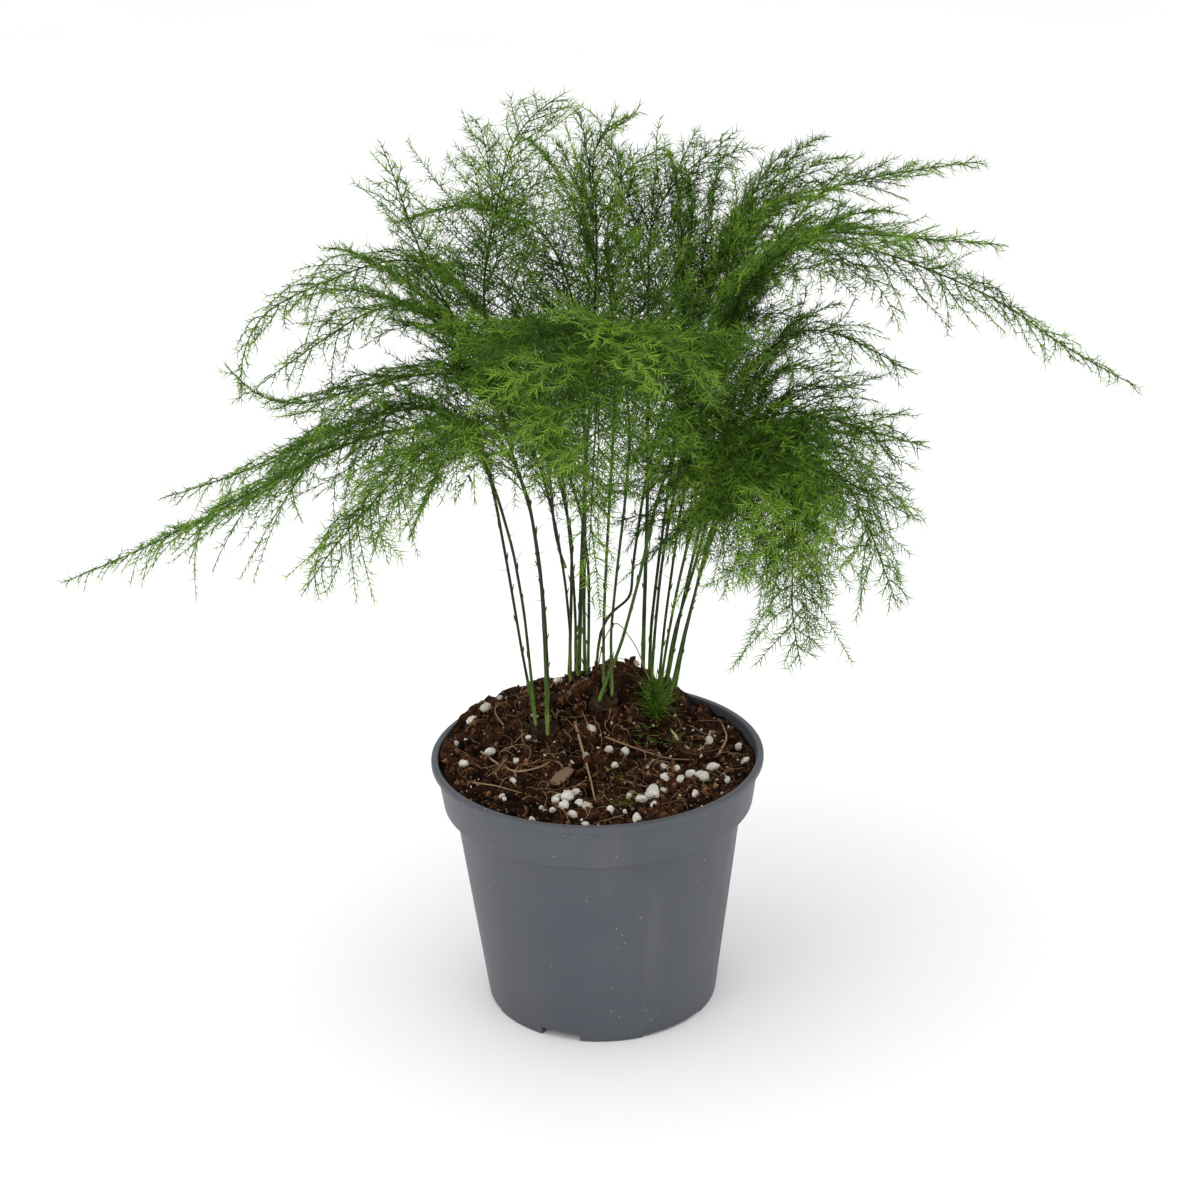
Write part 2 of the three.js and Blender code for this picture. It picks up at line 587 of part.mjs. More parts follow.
let soil = solidOf(soilBody());
for (const crown of CROWNS) soil = soil.subtract(crownSolid(crown, GAP));
for (const grain of PERLITE) soil = soil.subtract(grainSolid(grain, GAP));
soil = soil.subtract(newShootParts(GAP)).subtract(chipSolid(GAP)).subtract(rootSolid(GAP));

CROWNS.forEach((crown, index) => {
  let solid = crownSolid(crown);
  for (const shoot of shoots) {
    if (shoot.crown === index) solid = solid.subtract(stemRod(shoot, GAP));
  }
  add(crown.name, geometryOf(solid), 'crown');
});
for (const shoot of shoots) {
  const solid = stemRod(shoot);
  if (shoot.crown !== null) soil = soil.subtract(stemRod(shoot, GAP));
  add(`stem_${shoot.name}`, geometryOf(solid), 'stem');
  claim(shoot.stem.points, shoot.girth, shoot.name);
  claim(shoot.frond.points, shoot.girth, shoot.name);
}
for (const shoot of shoots) add(`frond_${shoot.name}`, geometryOf(frondSolid(shoot)), 'frond');

add('nursery_pot', potGeometry(), 'pot');
add('potting_mix', geometryOf(soil), 'soil');
add('new_shoot', geometryOf(newShootParts()), 'frond');
for (const grain of PERLITE) add(grain.name, geometryOf(grainSolid(grain)), 'perlite');
add('bark_chip', geometryOf(chipSolid()), 'bark');
add('surface_root', geometryOf(rootSolid()), 'bark');

export default plant;
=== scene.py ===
"""A potted asparagus fern (Asparagus setaceus) in a 12 cm nursery pot.

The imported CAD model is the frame: the pot's size, the soil's surface and the course of every
stem, rachis and side branch are read from its nodes. Each piece built here stands for one
node and adds what the CAD leaves out: needles, twigs, crumbs of soil, roots and finishes.
Lengths are metres, and tables in millimetres say so. The plant stands on z = 0 and faces -Y.
"""
import heapq
import math

import bmesh
import bpy
import numpy as np
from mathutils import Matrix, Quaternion, Vector, noise
from mathutils.bvhtree import BVHTree
from mathutils.kdtree import KDTree


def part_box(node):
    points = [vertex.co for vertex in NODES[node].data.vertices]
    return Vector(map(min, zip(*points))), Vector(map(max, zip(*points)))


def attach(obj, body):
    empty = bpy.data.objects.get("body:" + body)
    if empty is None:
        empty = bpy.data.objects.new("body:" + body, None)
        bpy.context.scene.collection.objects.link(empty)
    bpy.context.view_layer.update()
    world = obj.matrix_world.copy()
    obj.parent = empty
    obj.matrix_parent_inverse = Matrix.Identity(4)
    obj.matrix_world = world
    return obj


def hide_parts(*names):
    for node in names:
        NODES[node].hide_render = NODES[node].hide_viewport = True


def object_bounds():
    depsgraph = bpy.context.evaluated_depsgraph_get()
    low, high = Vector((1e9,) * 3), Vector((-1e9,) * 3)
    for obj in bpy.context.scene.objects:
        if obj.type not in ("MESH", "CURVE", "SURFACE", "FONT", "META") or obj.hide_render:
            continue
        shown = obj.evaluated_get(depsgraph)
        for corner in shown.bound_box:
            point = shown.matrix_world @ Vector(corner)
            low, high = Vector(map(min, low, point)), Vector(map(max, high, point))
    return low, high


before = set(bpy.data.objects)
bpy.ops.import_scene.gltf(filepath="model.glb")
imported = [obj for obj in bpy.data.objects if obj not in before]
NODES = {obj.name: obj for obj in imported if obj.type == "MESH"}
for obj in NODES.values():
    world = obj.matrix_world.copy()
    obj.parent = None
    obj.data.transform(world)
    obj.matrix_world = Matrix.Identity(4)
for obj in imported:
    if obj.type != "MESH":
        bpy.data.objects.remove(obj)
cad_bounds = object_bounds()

MM = 0.001
TURN = 2 * math.pi
UP = np.array([0.0, 0.0, 1.0])
rng = np.random.default_rng(12)

# ------------------------------------------------------------------ vectors and meshes


def unit(vectors):
    """The vectors, each made one long."""
    return vectors / np.maximum(np.linalg.norm(vectors, axis=-1, keepdims=True), 1e-9)


def across(vectors, along):
    """The part of each vector that is square to its partner in along, made one long."""
    overlap = np.sum(vectors * along, axis=-1, keepdims=True)
    return unit(vectors - overlap * along)


def corners_of(node):
    """The distinct corners of a CAD node, and its edges as pairs of them."""
    mesh = node.data
    points = np.empty(3 * len(mesh.vertices))
    mesh.vertices.foreach_get("co", points)
    edges = np.empty(2 * len(mesh.edges), dtype=int)
    mesh.edges.foreach_get("vertices", edges)
    points = np.round(points.reshape(-1, 3), 6)
    distinct, where = np.unique(points, axis=0, return_inverse=True)
    return distinct, where.ravel()[edges.reshape(-1, 2)]


def box_of(node):
    """The low and high corners of a CAD node's box."""
    low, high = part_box(node)
    return np.array(low), np.array(high)


def placed(name, data):
    """A new object in the scene that holds the data."""
    made = bpy.data.objects.new(name, data)
    bpy.context.scene.collection.objects.link(made)
    return made


def object_of(mesh, name):
    """A new object with a bmesh's mesh; the bmesh is freed."""
    data = bpy.data.meshes.new(name)
    mesh.to_mesh(data)
    mesh.free()
    return placed(name, data)


def triangles_of(mesh):
    """The points and triangles of a bmesh, which is freed."""
    points = np.array([v.co[:] for v in mesh.verts])
    triangles = np.array([[v.index for v in f.verts] for f in mesh.faces])
    mesh.free()
    return points, triangles


class Shape:
    """Points and triangles gathered for one piece, with three numbers painted on each point.

    tone is a random or chosen lightness, kind tells the parts of one piece apart (0 wood,
    1 needle) and along runs from 0 at the foot of a part to 1 at its tip.
    """

    def __init__(self):
        self.points, self.triangles, self.paint = [], [], []
        self.size = 0

    def add(self, points, triangles, tone=0.5, kind=0.0, along=0.0):
        count = len(points)
        self.points.append(points)
        self.triangles.append(np.asarray(triangles) + self.size)
        self.paint.append(np.stack([np.broadcast_to(v, count) for v in (tone, kind, along)], 1))
        self.size += count

    def piece(self, name, material, slot, *replaced):
        """Makes the piece, puts it on the root body and in the CAD nodes' place."""
        points = np.concatenate(self.points).astype(np.float32)
        triangles = np.concatenate(self.triangles).astype(np.int32)
        paint = np.concatenate(self.paint).astype(np.float32)
        mesh = bpy.data.meshes.new(name)
        mesh.vertices.add(len(points))
        mesh.vertices.foreach_set("co", points.ravel())
        mesh.loops.add(triangles.size)
        mesh.loops.foreach_set("vertex_index", triangles.ravel())
        mesh.polygons.add(len(triangles))
        mesh.polygons.foreach_set("loop_start", np.arange(0, triangles.size, 3, dtype=np.int32))
        mesh.update(calc_edges=True)
        mesh.shade_smooth()
        for column, key in enumerate(("tone", "kind", "along")):
            layer = mesh.attributes.new(key, "FLOAT", "POINT")
            layer.data.foreach_set("value", np.ascontiguousarray(paint[:, column]))
        mesh.materials.append(material)
        piece = placed(name, mesh)
        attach(piece, "root")
        if replaced:
            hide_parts(*replaced)


def ring_faces(count, sides):
    """Triangles that join rings of points, with one point that closes each end."""
    here = np.arange(sides)
    ahead = (here + 1) % sides
    faces = []
    for low in range(0, (count - 1) * sides, sides):
        high = low + sides
        faces.append(np.stack([low + here, low + ahead, high + ahead], 1))
        faces.append(np.stack([low + here, high + ahead, high + here], 1))
    top = (count - 1) * sides
    faces.append(np.stack([ahead, here, np.full(sides, top + sides)], 1))
    faces.append(np.stack([top + here, top + ahead, np.full(sides, top + sides + 1)], 1))
    return np.concatenate(faces)


def tube(points, radii, sides):
    """A round tube along points, with its frame carried along so that it doesn't twist."""
    points = np.asarray(points, dtype=float)
    count = len(points)
    radii = np.broadcast_to(radii, count)
    ahead = unit(np.gradient(points, axis=0))
    side = across(np.array([0.31, 0.9, 0.3]), ahead[0])
    turns = np.arange(sides) * TURN / sides
    rings = []
    for centre, direction, radius in zip(points, ahead, radii):
        side = across(side, direction)
        other = np.cross(direction, side)
        ring = np.outer(np.cos(turns), side) + np.outer(np.sin(turns), other)
        rings.append(centre + radius * ring)
    vertices = np.concatenate(rings + [points[:1], points[-1:]])
    return vertices, ring_faces(count, sides)


def spikes(feet, directions, lengths, radii):
    """Closed three-sided spikes, one from each foot: needles, twigs and hairs."""
    count = len(feet)
    lean = across(np.where(np.abs(directions[:, 2:]) < 0.8, UP, np.array([1.0, 0, 0])), directions)
    other = np.cross(directions, lean)
    turn = rng.uniform(0, TURN, count)[:, None]
    base = []
    for k in range(3):
        angle = turn + k * TURN / 3
        reach = lean * np.cos(angle) + other * np.sin(angle)
        base.append(feet + reach * np.reshape(radii, (-1, 1)))
    tips = feet + directions * np.reshape(lengths, (-1, 1))
    points = np.stack(base + [tips], 1).reshape(-1, 3)
    pattern = np.array([[0, 1, 3], [1, 2, 3], [2, 0, 3], [0, 2, 1]])
    triangles = (np.arange(count)[:, None, None] * 4 + pattern).reshape(-1, 3)
    return points, triangles


def add_needles(shape, feet, directions, lengths, radii, tones, kind=1.0):
    """Needles as spikes: a tone for each, and along running from its foot to its tip."""
    tones = np.repeat(np.clip(tones, 0, 1), 4)
    along = np.tile([0.0, 0.0, 0.0, 1.0], len(feet))
    shape.add(*spikes(feet, directions, lengths, radii), tones, kind, along)


# ------------------------------------------------------------------ materials


def rgb(red, green, blue):
    """A linear colour from 0-255 display values."""
    def linear(value):
        value /= 255
        return value / 12.92 if value <= 0.04045 else ((value + 0.055) / 1.055) ** 2.4
    return (linear(red), linear(green), linear(blue), 1.0)


class Finish:
    """A Principled material with short calls for the procedural nodes that feed it."""

    def __init__(self, name, **settings):
        self.material = bpy.data.materials.new(name)
        self.material.use_nodes = True
        self.tree = self.material.node_tree
        self.shader = self.tree.nodes["Principled BSDF"]
        for key, value in settings.items():
            socket = key.replace("_", " ").title().replace("Ior", "IOR")
            self.shader.inputs[socket].default_value = value
        self.place = self.node("TexCoord").outputs["Object"]

    def node(self, kind, inputs=None, **settings):
        made = self.tree.nodes.new("ShaderNode" + kind)
        for key, value in settings.items():
            setattr(made, key, value)
        for key, value in (inputs or {}).items():
            self.feed(made.inputs[key], value)
        return made

    def feed(self, socket, value):
        if isinstance(value, bpy.types.NodeSocket):
            self.tree.links.new(value, socket)
        else:
            socket.default_value = value

    def painted(self, key):
        return self.node("Attribute", attribute_name=key).outputs["Fac"]

    def noise(self, scale, detail=3.0, roughness=0.55, stretch=None):
        place = self.place
        if stretch:
            place = self.node("Mapping", {"Vector": place, "Scale": stretch}).outputs[0]
        inputs = {"Vector": place, "Scale": scale, "Detail": detail, "Roughness": roughness}
        return self.node("TexNoise", inputs).outputs["Fac"]

    def cells(self, scale, feature="F1"):
        inputs = {"Vector": self.place, "Scale": scale}
        return self.node("TexVoronoi", inputs, feature=feature).outputs["Distance"]

    def ramp(self, factor, *stops):
        """Colours blended between stops of position, red, green and blue, the colours in 0-255."""
        made = self.node("ValToRGB", {"Fac": factor})
        elements = made.color_ramp.elements
        while len(elements) < len(stops):
            elements.new(1.0)
        for element, (position, *colour) in zip(elements, stops):
            element.position = position
            element.color = rgb(*colour)
        return made.outputs["Color"]

    def levels(self, value, low, high, bottom=0.0, top=1.0):
        """value between low and high, moved to between bottom and top."""
        inputs = {"Value": value, "From Min": low, "From Max": high, "To Min": bottom, "To Max": top}
        return self.node("MapRange", inputs).outputs["Result"]

    def plus(self, first, second):
        return self.node("Math", {0: first, 1: second}, operation="ADD").outputs[0]

    def times(self, first, second):
        return self.node("Math", {0: first, 1: second}, operation="MULTIPLY").outputs[0]

    def mixed(self, factor, first, second):
        """The first colour turning into the second as the factor rises."""
        return self.node("Mix", {0: factor, 6: first, 7: second}, data_type="RGBA").outputs[2]

    def finish(self, colour, roughness=None, height=None, depth=0.0002, strength=0.6):
        self.feed(self.shader.inputs["Base Color"], colour)
        if roughness is not None:
            self.feed(self.shader.inputs["Roughness"], roughness)
        if height is not None:
            bump = self.node("Bump", {"Height": height, "Distance": depth, "Strength": strength})
            self.tree.links.new(bump.outputs["Normal"], self.shader.inputs["Normal"])
        return self.material


def foliage_finish():
    """Needles from deep green inside the plant to yellow-green tips; greenish-brown axes."""
    leaf = Finish("foliage", roughness=0.55, specular_ior_level=0.1)
    patches = leaf.noise(38.0, 2.0)
    tone = leaf.plus(leaf.painted("tone"), leaf.levels(patches, 0.3, 0.7, -0.12, 0.12))
    needle = leaf.ramp(
        tone,
        (0.0, 21, 39, 9), (0.25, 39, 65, 17), (0.5, 66, 102, 28),
        (0.75, 104, 146, 44), (1.0, 146, 182, 64),
    )
    pale = leaf.levels(leaf.painted("along"), 0.3, 1.0, 0.0, 0.16)
    needle = leaf.mixed(pale, needle, rgb(120, 150, 84))
    axis = leaf.ramp(leaf.painted("tone"), (0.0, 40, 44, 20), (0.5, 68, 94, 32),
                     (1.0, 104, 132, 50))
    colour = leaf.mixed(leaf.painted("kind"), axis, needle)
    return leaf.finish(colour, leaf.levels(patches, 0.3, 0.7, 0.48, 0.66))


def stem_finish():
    """Wiry stems, pale green at the soil and nearly black-brown higher up, finely ridged."""
    wood = Finish("stem_bark", roughness=0.5, specular_ior_level=0.25)
    streaks = wood.noise(900.0, 3.0, 0.6, (1.0, 1.0, 0.12))
    along = wood.plus(wood.painted("along"), wood.levels(streaks, 0.3, 0.7, -0.1, 0.1))
    bark = wood.ramp(along, (0.0, 146, 158, 84), (0.1, 88, 116, 44),
                     (0.28, 38, 48, 22), (1.0, 22, 21, 15))
    scale = wood.ramp(streaks, (0.3, 70, 54, 34), (0.7, 112, 92, 62))
    colour = wood.mixed(wood.painted("kind"), bark, scale)
    colour = wood.mixed(wood.levels(wood.painted("tone"), 0.0, 1.0, 0.0, 0.5), colour,
                        rgb(88, 124, 44))
    return wood.finish(colour, wood.levels(streaks, 0.3, 0.7, 0.42, 0.7), streaks, 0.0001)


def pot_finish():
    """Dark grey moulded plastic: satin, with dust specks, drips of dried water and scuffs."""
    shell = Finish("pot_plastic", roughness=0.42, specular_ior_level=0.4)
    cloud = shell.noise(22.0, 4.0)
    grain = shell.noise(2600.0, 2.0)
    base = shell.ramp(cloud, (0.3, 71, 74, 82), (0.7, 80, 83, 90))
    specks = shell.cells(420.0)
    sparse = shell.noise(64.0, 2.0)
    dust = shell.times(shell.levels(specks, 0.13, 0.08), shell.levels(sparse, 0.56, 0.6))
    colour = shell.mixed(shell.times(dust, 0.6), base, rgb(186, 184, 178))
    motes = shell.cells(270.0)
    dirt = shell.times(shell.levels(motes, 0.09, 0.05),
                      shell.levels(shell.noise(41.0, 2.0), 0.57, 0.62))
    colour = shell.mixed(shell.times(dirt, 0.75), colour, rgb(48, 42, 38))
    drips = shell.noise(60.0, 3.0, 0.5, (1.0, 1.0, 0.1))
    colour = shell.mixed(shell.levels(drips, 0.62, 0.76, 0.0, 0.1), colour, rgb(150, 146, 138))
    rough = shell.plus(shell.levels(cloud, 0.3, 0.7, 0.42, 0.54),
                       shell.levels(drips, 0.55, 0.75, 0, 0.15))
    return shell.finish(colour, rough, grain, 0.00006, 0.35)


def soil_finish():
    """Damp peat and composted bark, from near black painted shade in the hollows to warm brown crumbs,
    with broad patches of painted shade.
    """
    soil = Finish("potting_mix", roughness=0.9, specular_ior_level=0.06)
    cloud = soil.noise(120.0, 4.0)
    grit = soil.noise(1400.0, 4.0, 0.65)
    tone = soil.plus(soil.painted("tone"), soil.levels(grit, 0.3, 0.7, -0.16, 0.16))
    earth = soil.ramp(tone, (0.0, 9, 6, 4), (0.25, 40, 24, 15), (0.5, 84, 53, 35),
                      (0.75, 120, 82, 56), (1.0, 168, 132, 96))
    # Broad patches darkened towards near black: painted shade.
    earth = soil.mixed(soil.levels(cloud, 0.35, 0.7, 0.0, 0.4), earth, rgb(30, 18, 12))
    fibre = soil.ramp(soil.painted("along"), (0.0, 104, 72, 50), (1.0, 182, 154, 120))
    colour = soil.mixed(soil.painted("kind"), earth, fibre)
    return soil.finish(colour, None, grit, 0.0005, 0.9)


def perlite_finish():
    """Popped volcanic glass: chalky white with grey pits and a little soil on it."""
    stone = Finish("perlite", roughness=0.85)
    pits = stone.cells(1500.0)
    cloud = stone.noise(700.0, 3.0)
    white = stone.ramp(cloud, (0.3, 206, 198, 184), (0.6, 238, 234, 226))
    colour = stone.mixed(stone.levels(pits, 0.25, 0.05, 0.0, 0.5), white, rgb(150, 140, 124))
    stained = stone.levels(stone.painted("tone"), 0.0, 1.0, 0.0, 0.75)
    colour = stone.mixed(stained, colour, rgb(140, 116, 88))
    return stone.finish(colour, None, pits, 0.0003, 0.8)


def crown_finish():
    """The knobbly woody crown under each clump of stems."""
    crown = Finish("root_crown", roughness=0.8, specular_ior_level=0.15)
    cloud = crown.noise(320.0, 4.0)
    streaks = crown.noise(1200.0, 3.0, 0.6, (1.0, 1.0, 0.2))
    wood = crown.ramp(cloud, (0.3, 24, 16, 11), (0.5, 44, 30, 20), (0.75, 76, 56, 36))
    colour = crown.mixed(crown.levels(streaks, 0.4, 0.7, 0.0, 0.25), wood, rgb(96, 74, 48))
    colour = crown.mixed(crown.levels(crown.painted("along"), 0.0, 1.0, 0.0, 0.3), colour,
                         rgb(104, 104, 60))
    return crown.finish(colour, None, streaks, 0.0004, 0.8)


def bark_finish():
    """A split chip of bark with its grain along it."""
    bark = Finish("bark", roughness=0.85)
    heading = bark.node("Mapping", {"Vector": bark.place, "Rotation": (0, 0, -CHIP_HEADING)}).outputs[0]
    wave = bark.node("TexWave", {"Vector": heading, "Scale": 620.0, "Distortion": 5.0, "Detail": 3.0},
                     bands_direction="Y").outputs["Fac"]
    colour = bark.ramp(wave, (0.1, 92, 66, 44), (0.55, 142, 112, 80), (0.9, 178, 150, 114))
    return bark.finish(colour, None, wave, 0.0003, 0.8)


def root_finish():
    """Pale fleshy roots that lie on the soil."""
    root = Finish("root_fibre", roughness=0.6)
    cloud = root.noise(500.0, 3.0)
    colour = root.ramp(cloud, (0.3, 150, 124, 88), (0.6, 205, 188, 150))
    return root.finish(colour, None, cloud, 0.0003, 0.6)


# ------------------------------------------------------------------ the pot

POT_LOW, POT_HIGH = box_of("nursery_pot")
POT_HEIGHT = POT_HIGH[2]
RIM_RADIUS = (POT_HIGH[0] - POT_LOW[0]) / 2
POT = {
    "lip_depth": 2.6 * MM, "lip_overhang": 1.8 * MM, "ledge_height": 78.1 * MM,
    "collar_foot": 56 * MM, "wall_top": 52.2 * MM, "foot": 42.2 * MM, "wall": 1.0 * MM,
    "floor_underside": 3.2 * MM, "foot_ring": 3 * MM,
}
NOTCHES = [(-22, 15 * MM, 3 * MM), (38, 28 * MM, 1 * MM)]  # angle from the front, width, height
NOTCH_COUNT = 3  # of each kind, evenly round the foot ring
NOTCH_STEP = 120  # degrees between them
NOTCH_CORNER = 0.001  # the angle, in radians, in which a notch's side rises
SHARP_EDGE = math.radians(38)
DRAIN_HOLES = {"count": 6, "radius": 4 * MM, "ring": 30 * MM}
POT_SEGMENTS = 216


def wall_radius(z):
    share = z / POT["ledge_height"]
    return POT["foot"] + (POT["wall_top"] - POT["foot"]) * share


def collar_radius(z):
    top = POT_HEIGHT - POT["lip_depth"]
    share = (z - POT["ledge_height"]) / (top - POT["ledge_height"])
    return POT["collar_foot"] + (RIM_RADIUS - POT["lip_overhang"] - POT["collar_foot"]) * share


def rounded(outline, fillets):
    """The outline with each corner turned into a short arc of its fillet's size."""
    result = []
    for index, (corner, fillet) in enumerate(zip(outline, fillets)):
        if fillet == 0:
            result.append(corner)
            continue
        before = unit(outline[index - 1] - corner)
        after = unit(outline[index + 1] - corner)
        for t in np.linspace(0, 1, 5):
            start, end = corner + fillet * before, corner + fillet * after
            result.append((1 - t) ** 2 * start + 2 * t * (1 - t) * corner + t * t * end)
    return np.array(result)


def pot_outline():
    """Radius and height of the pot's section, from the floor's underside round to its top."""
    wall, ledge = POT["wall"], POT["ledge_height"]
    lip_foot = POT_HEIGHT - POT["lip_depth"]
    ring_inner = POT["foot"] - POT["foot_ring"]
    floor_top = POT["floor_underside"] + wall
    corners = [
        (0, POT["floor_underside"], 0), (ring_inner, POT["floor_underside"], 0.3),
        (ring_inner + 0.4 * MM, 0, 0.5), (POT["foot"], 0, 0.5),
        (wall_radius(3.4 * MM), 3.4 * MM, 0), (wall_radius(4.2 * MM), 4.2 * MM, 0),
        (wall_radius(0.3 * ledge), 0.3 * ledge, 0), (wall_radius(0.7 * ledge), 0.7 * ledge, 0),
        (wall_radius(ledge), ledge, 0.5), (POT["collar_foot"], ledge, 0.7),
        (collar_radius(lip_foot), lip_foot, 0.4), (RIM_RADIUS, lip_foot, 0.8),
        (RIM_RADIUS, POT_HEIGHT, 0.9), (collar_radius(POT_HEIGHT) - wall, POT_HEIGHT, 0.7),
        (collar_radius(ledge + wall) - wall, ledge + wall, 0.6),
        (wall_radius(ledge + wall) - wall, ledge + wall, 0.5),
        (wall_radius(floor_top) - wall, floor_top, 0.6), (0, floor_top, 0),
    ]
    outline = np.array([(radius, z) for radius, z, _ in corners])
    return rounded(outline, [fillet * MM for _, _, fillet in corners])


def every_notch():
    """Each notch's angle from the front in radians, its width and its height."""
    for first, width, height in NOTCHES:
        for turn in range(NOTCH_COUNT):
            yield math.radians(first + NOTCH_STEP * turn), width, height


def notch_lift(angle):
    """How high the foot ring is cut away at an angle from the front."""
    lift = 0.0
    for middle, width, height in every_notch():
        away = (angle - middle + math.pi) % TURN - math.pi
        if abs(away) * POT["foot"] < width / 2:
            lift = max(lift, height)
    return lift


def pot_angles():
    """Even steps round the pot, with a close pair at each side of every notch."""
    angles = list(np.arange(POT_SEGMENTS) * TURN / POT_SEGMENTS)
    for middle, width, _ in every_notch():
        for edge in (-1, 1):
            side = middle + edge * width / 2 / POT["foot"]
            angles += [(side - NOTCH_CORNER) % TURN, (side + NOTCH_CORNER) % TURN]
    return np.sort(np.array(angles))


def pot_piece():
    outline, angles = pot_outline(), pot_angles()
    mesh = bmesh.new()
    columns = []
    middles = [mesh.verts.new((0, 0, outline[0][1])), mesh.verts.new((0, 0, outline[-1][1]))]
    for angle in angles:
        lift = notch_lift(angle)
        column = []
        for radius, z in outline[1:-1]:
            on_foot = radius > POT["foot"] - POT["foot_ring"] - 0.5 * MM and z < 3.1 * MM
            z = max(z, lift) if on_foot else z
            column.append(mesh.verts.new((radius * math.sin(angle), -radius * math.cos(angle), z)))
        columns.append(column)
    for here, ahead in zip(columns, columns[1:] + columns[:1]):
        mesh.faces.new((middles[0], ahead[0], here[0]))
        for k in range(len(here) - 1):
            mesh.faces.new((here[k], ahead[k], ahead[k + 1], here[k + 1]))
        mesh.faces.new((middles[1], here[-1], ahead[-1]))
    bmesh.ops.recalc_face_normals(mesh, faces=mesh.faces)
    piece = object_of(mesh, "nursery_pot_shell")
    drill_drain_holes(piece)
    piece.data.shade_smooth()
    piece.data.set_sharp_from_angle(angle=SHARP_EDGE)
    piece.data.materials.append(pot_finish())
    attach(piece, "root")
    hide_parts("nursery_pot")


def drill_drain_holes(piece):
    """Cuts the drain holes through the floor, and leaves no modifier behind."""
    drills = bmesh.new()
    for index in range(DRAIN_HOLES["count"]):
        turn = index * TURN / DRAIN_HOLES["count"]
        made = bmesh.ops.create_cone(drills, cap_ends=True, segments=28, depth=0.006,
                                     radius1=DRAIN_HOLES["radius"], radius2=DRAIN_HOLES["radius"])
        place = Vector((DRAIN_HOLES["ring"] * math.sin(turn), -DRAIN_HOLES["ring"] * math.cos(turn),
                        POT["floor_underside"] + POT["wall"] / 2))
        bmesh.ops.translate(drills, verts=made["verts"], vec=place)
    cutter = object_of(drills, "drills")
    cut = piece.modifiers.new("holes", "BOOLEAN")
    cut.object = cutter
    cut.solver = "EXACT"
    bpy.context.view_layer.update()
    shaped = piece.evaluated_get(bpy.context.evaluated_depsgraph_get())
    piece.data = bpy.data.meshes.new_from_object(shaped)
    piece.modifiers.clear()
    bpy.data.objects.remove(cutter)


# ------------------------------------------------------------------ the soil's surface

SOIL_LEVEL = 93 * MM
SOIL_CLEARANCE = 0.35 * MM
SOIL_RINGS = 58
SOIL_SPOKES = 200
CRUMB_SORTS = ((3700, 0.35, 0.9, 1), (380, 0.8, 1.6, 2))  # how many, radii in mm, and fineness
CRUMB_LIFT = 0.35  # how far a crumb's middle lies over the soil, as a share of its size
CRUMB_TONE, CRUMB_TONE_SPREAD = 0.5, 0.24
SOIL_TONE = 0.27
HOLLOW_SHADE_PER_METRE = 150  # painted shade: the soil's high places are painted lighter than its hollows
HIDDEN_TONE = 0.25  # the side and the underside
FINE_FIBRES = 230
FIBRE_LIMIT = 54.5 * MM  # fibres end this far from the pot's middle
CROWN_COVER = 3.6 * MM
CROWNS = ("crown_front_left", "crown_back_left", "crown_centre", "crown_right")


def soil_edge(clear):
    """The soil's radius at its top, this far clear of the pot's inside."""
    return collar_radius(SOIL_LEVEL) - POT["wall"] - clear


def surface_finder():
    """A function that gives the height of the CAD soil at a place."""
    points, _ = corners_of(NODES["potting_mix"])
    mesh = NODES["potting_mix"].data
    tree = BVHTree.FromPolygons([v.co for v in mesh.vertices],
                                [tuple(p.vertices) for p in mesh.polygons])
    top = points[:, 2].max() + 0.05
    edge = soil_edge(1.0 * MM)

    def height(x, y):
        away = math.hypot(x, y)
        if away > edge:
            x, y = x * edge / away, y * edge / away
        return tree.ray_cast(Vector((x, y, top)), Vector((0, 0, -1)))[0].z
    return height


ground = surface_finder()


def roughness_at(x, y):
    """The soil's own unevenness: broad lumps, the creases between clods, and fine grit."""
    broad = noise.noise(Vector((x, y, 0.3)) * 95) * 1.3
    creases = 0.7 - 4.2 * abs(noise.noise(Vector((x, y, 0.7)) * 150))
    fine = noise.noise(Vector((x, y, 1.9)) * 600) * 0.7
    return (broad + max(creases, -1.6) + fine) * MM


CROWN_BOXES = [box_of(node) for node in CROWNS]


def crown_cover(x, y):
    """How high the soil heaps over the crowns."""
    cover = 0.0
    for low, high in CROWN_BOXES:
        a = (2 * x - low[0] - high[0]) / (high[0] - low[0])
        b = (2 * y - low[1] - high[1]) / (high[1] - low[1])
        cover = max(cover, CROWN_COVER * math.exp(-1.1 * (a * a + b * b)))
    return cover


def soil_top(x, y):
    return ground(x, y) + crown_cover(x, y) + roughness_at(x, y)


def soil_mass(shape):
    """The closed body of soil: its rough top, its side inside the pot, and its underside."""
    clear = SOIL_CLEARANCE
    edge = soil_edge(clear)
    rings = []
    tones = []
    turns = np.arange(SOIL_SPOKES) * TURN / SOIL_SPOKES
    for share in np.linspace(1.0, 0.02, SOIL_RINGS):
        ring = [(edge * share * math.cos(t), edge * share * math.sin(t)) for t in turns]
        rings.append([(x, y, soil_top(x, y)) for x, y in ring])
        # The top's tone follows its unevenness as painted shade: darker in the hollows, lighter on the
        # high places.
        tones.append([SOIL_TONE + HOLLOW_SHADE_PER_METRE * roughness_at(x, y) for x, y in ring])
    ledge = POT["ledge_height"] + POT["wall"]
    floor = POT["floor_underside"] + POT["wall"] + clear
    sides = [(wall_radius(floor) - POT["wall"] - clear, floor),
             (wall_radius(ledge) - POT["wall"] - clear, ledge + clear),
             (collar_radius(ledge) - POT["wall"] - clear, ledge + clear)]
    under = [[(r * math.cos(t), r * math.sin(t), z) for t in turns] for r, z in sides]
    rings = np.array(under + rings)
    tones = np.concatenate([np.full(SOIL_SPOKES * len(under), HIDDEN_TONE), np.ravel(tones)])
    points = np.concatenate([rings.reshape(-1, 3), [[0, 0, floor]], [[0, 0, soil_top(0, 0)]]])
    shape.add(points, ring_faces(len(rings), SOIL_SPOKES), np.append(tones, [HIDDEN_TONE, 0.3]))


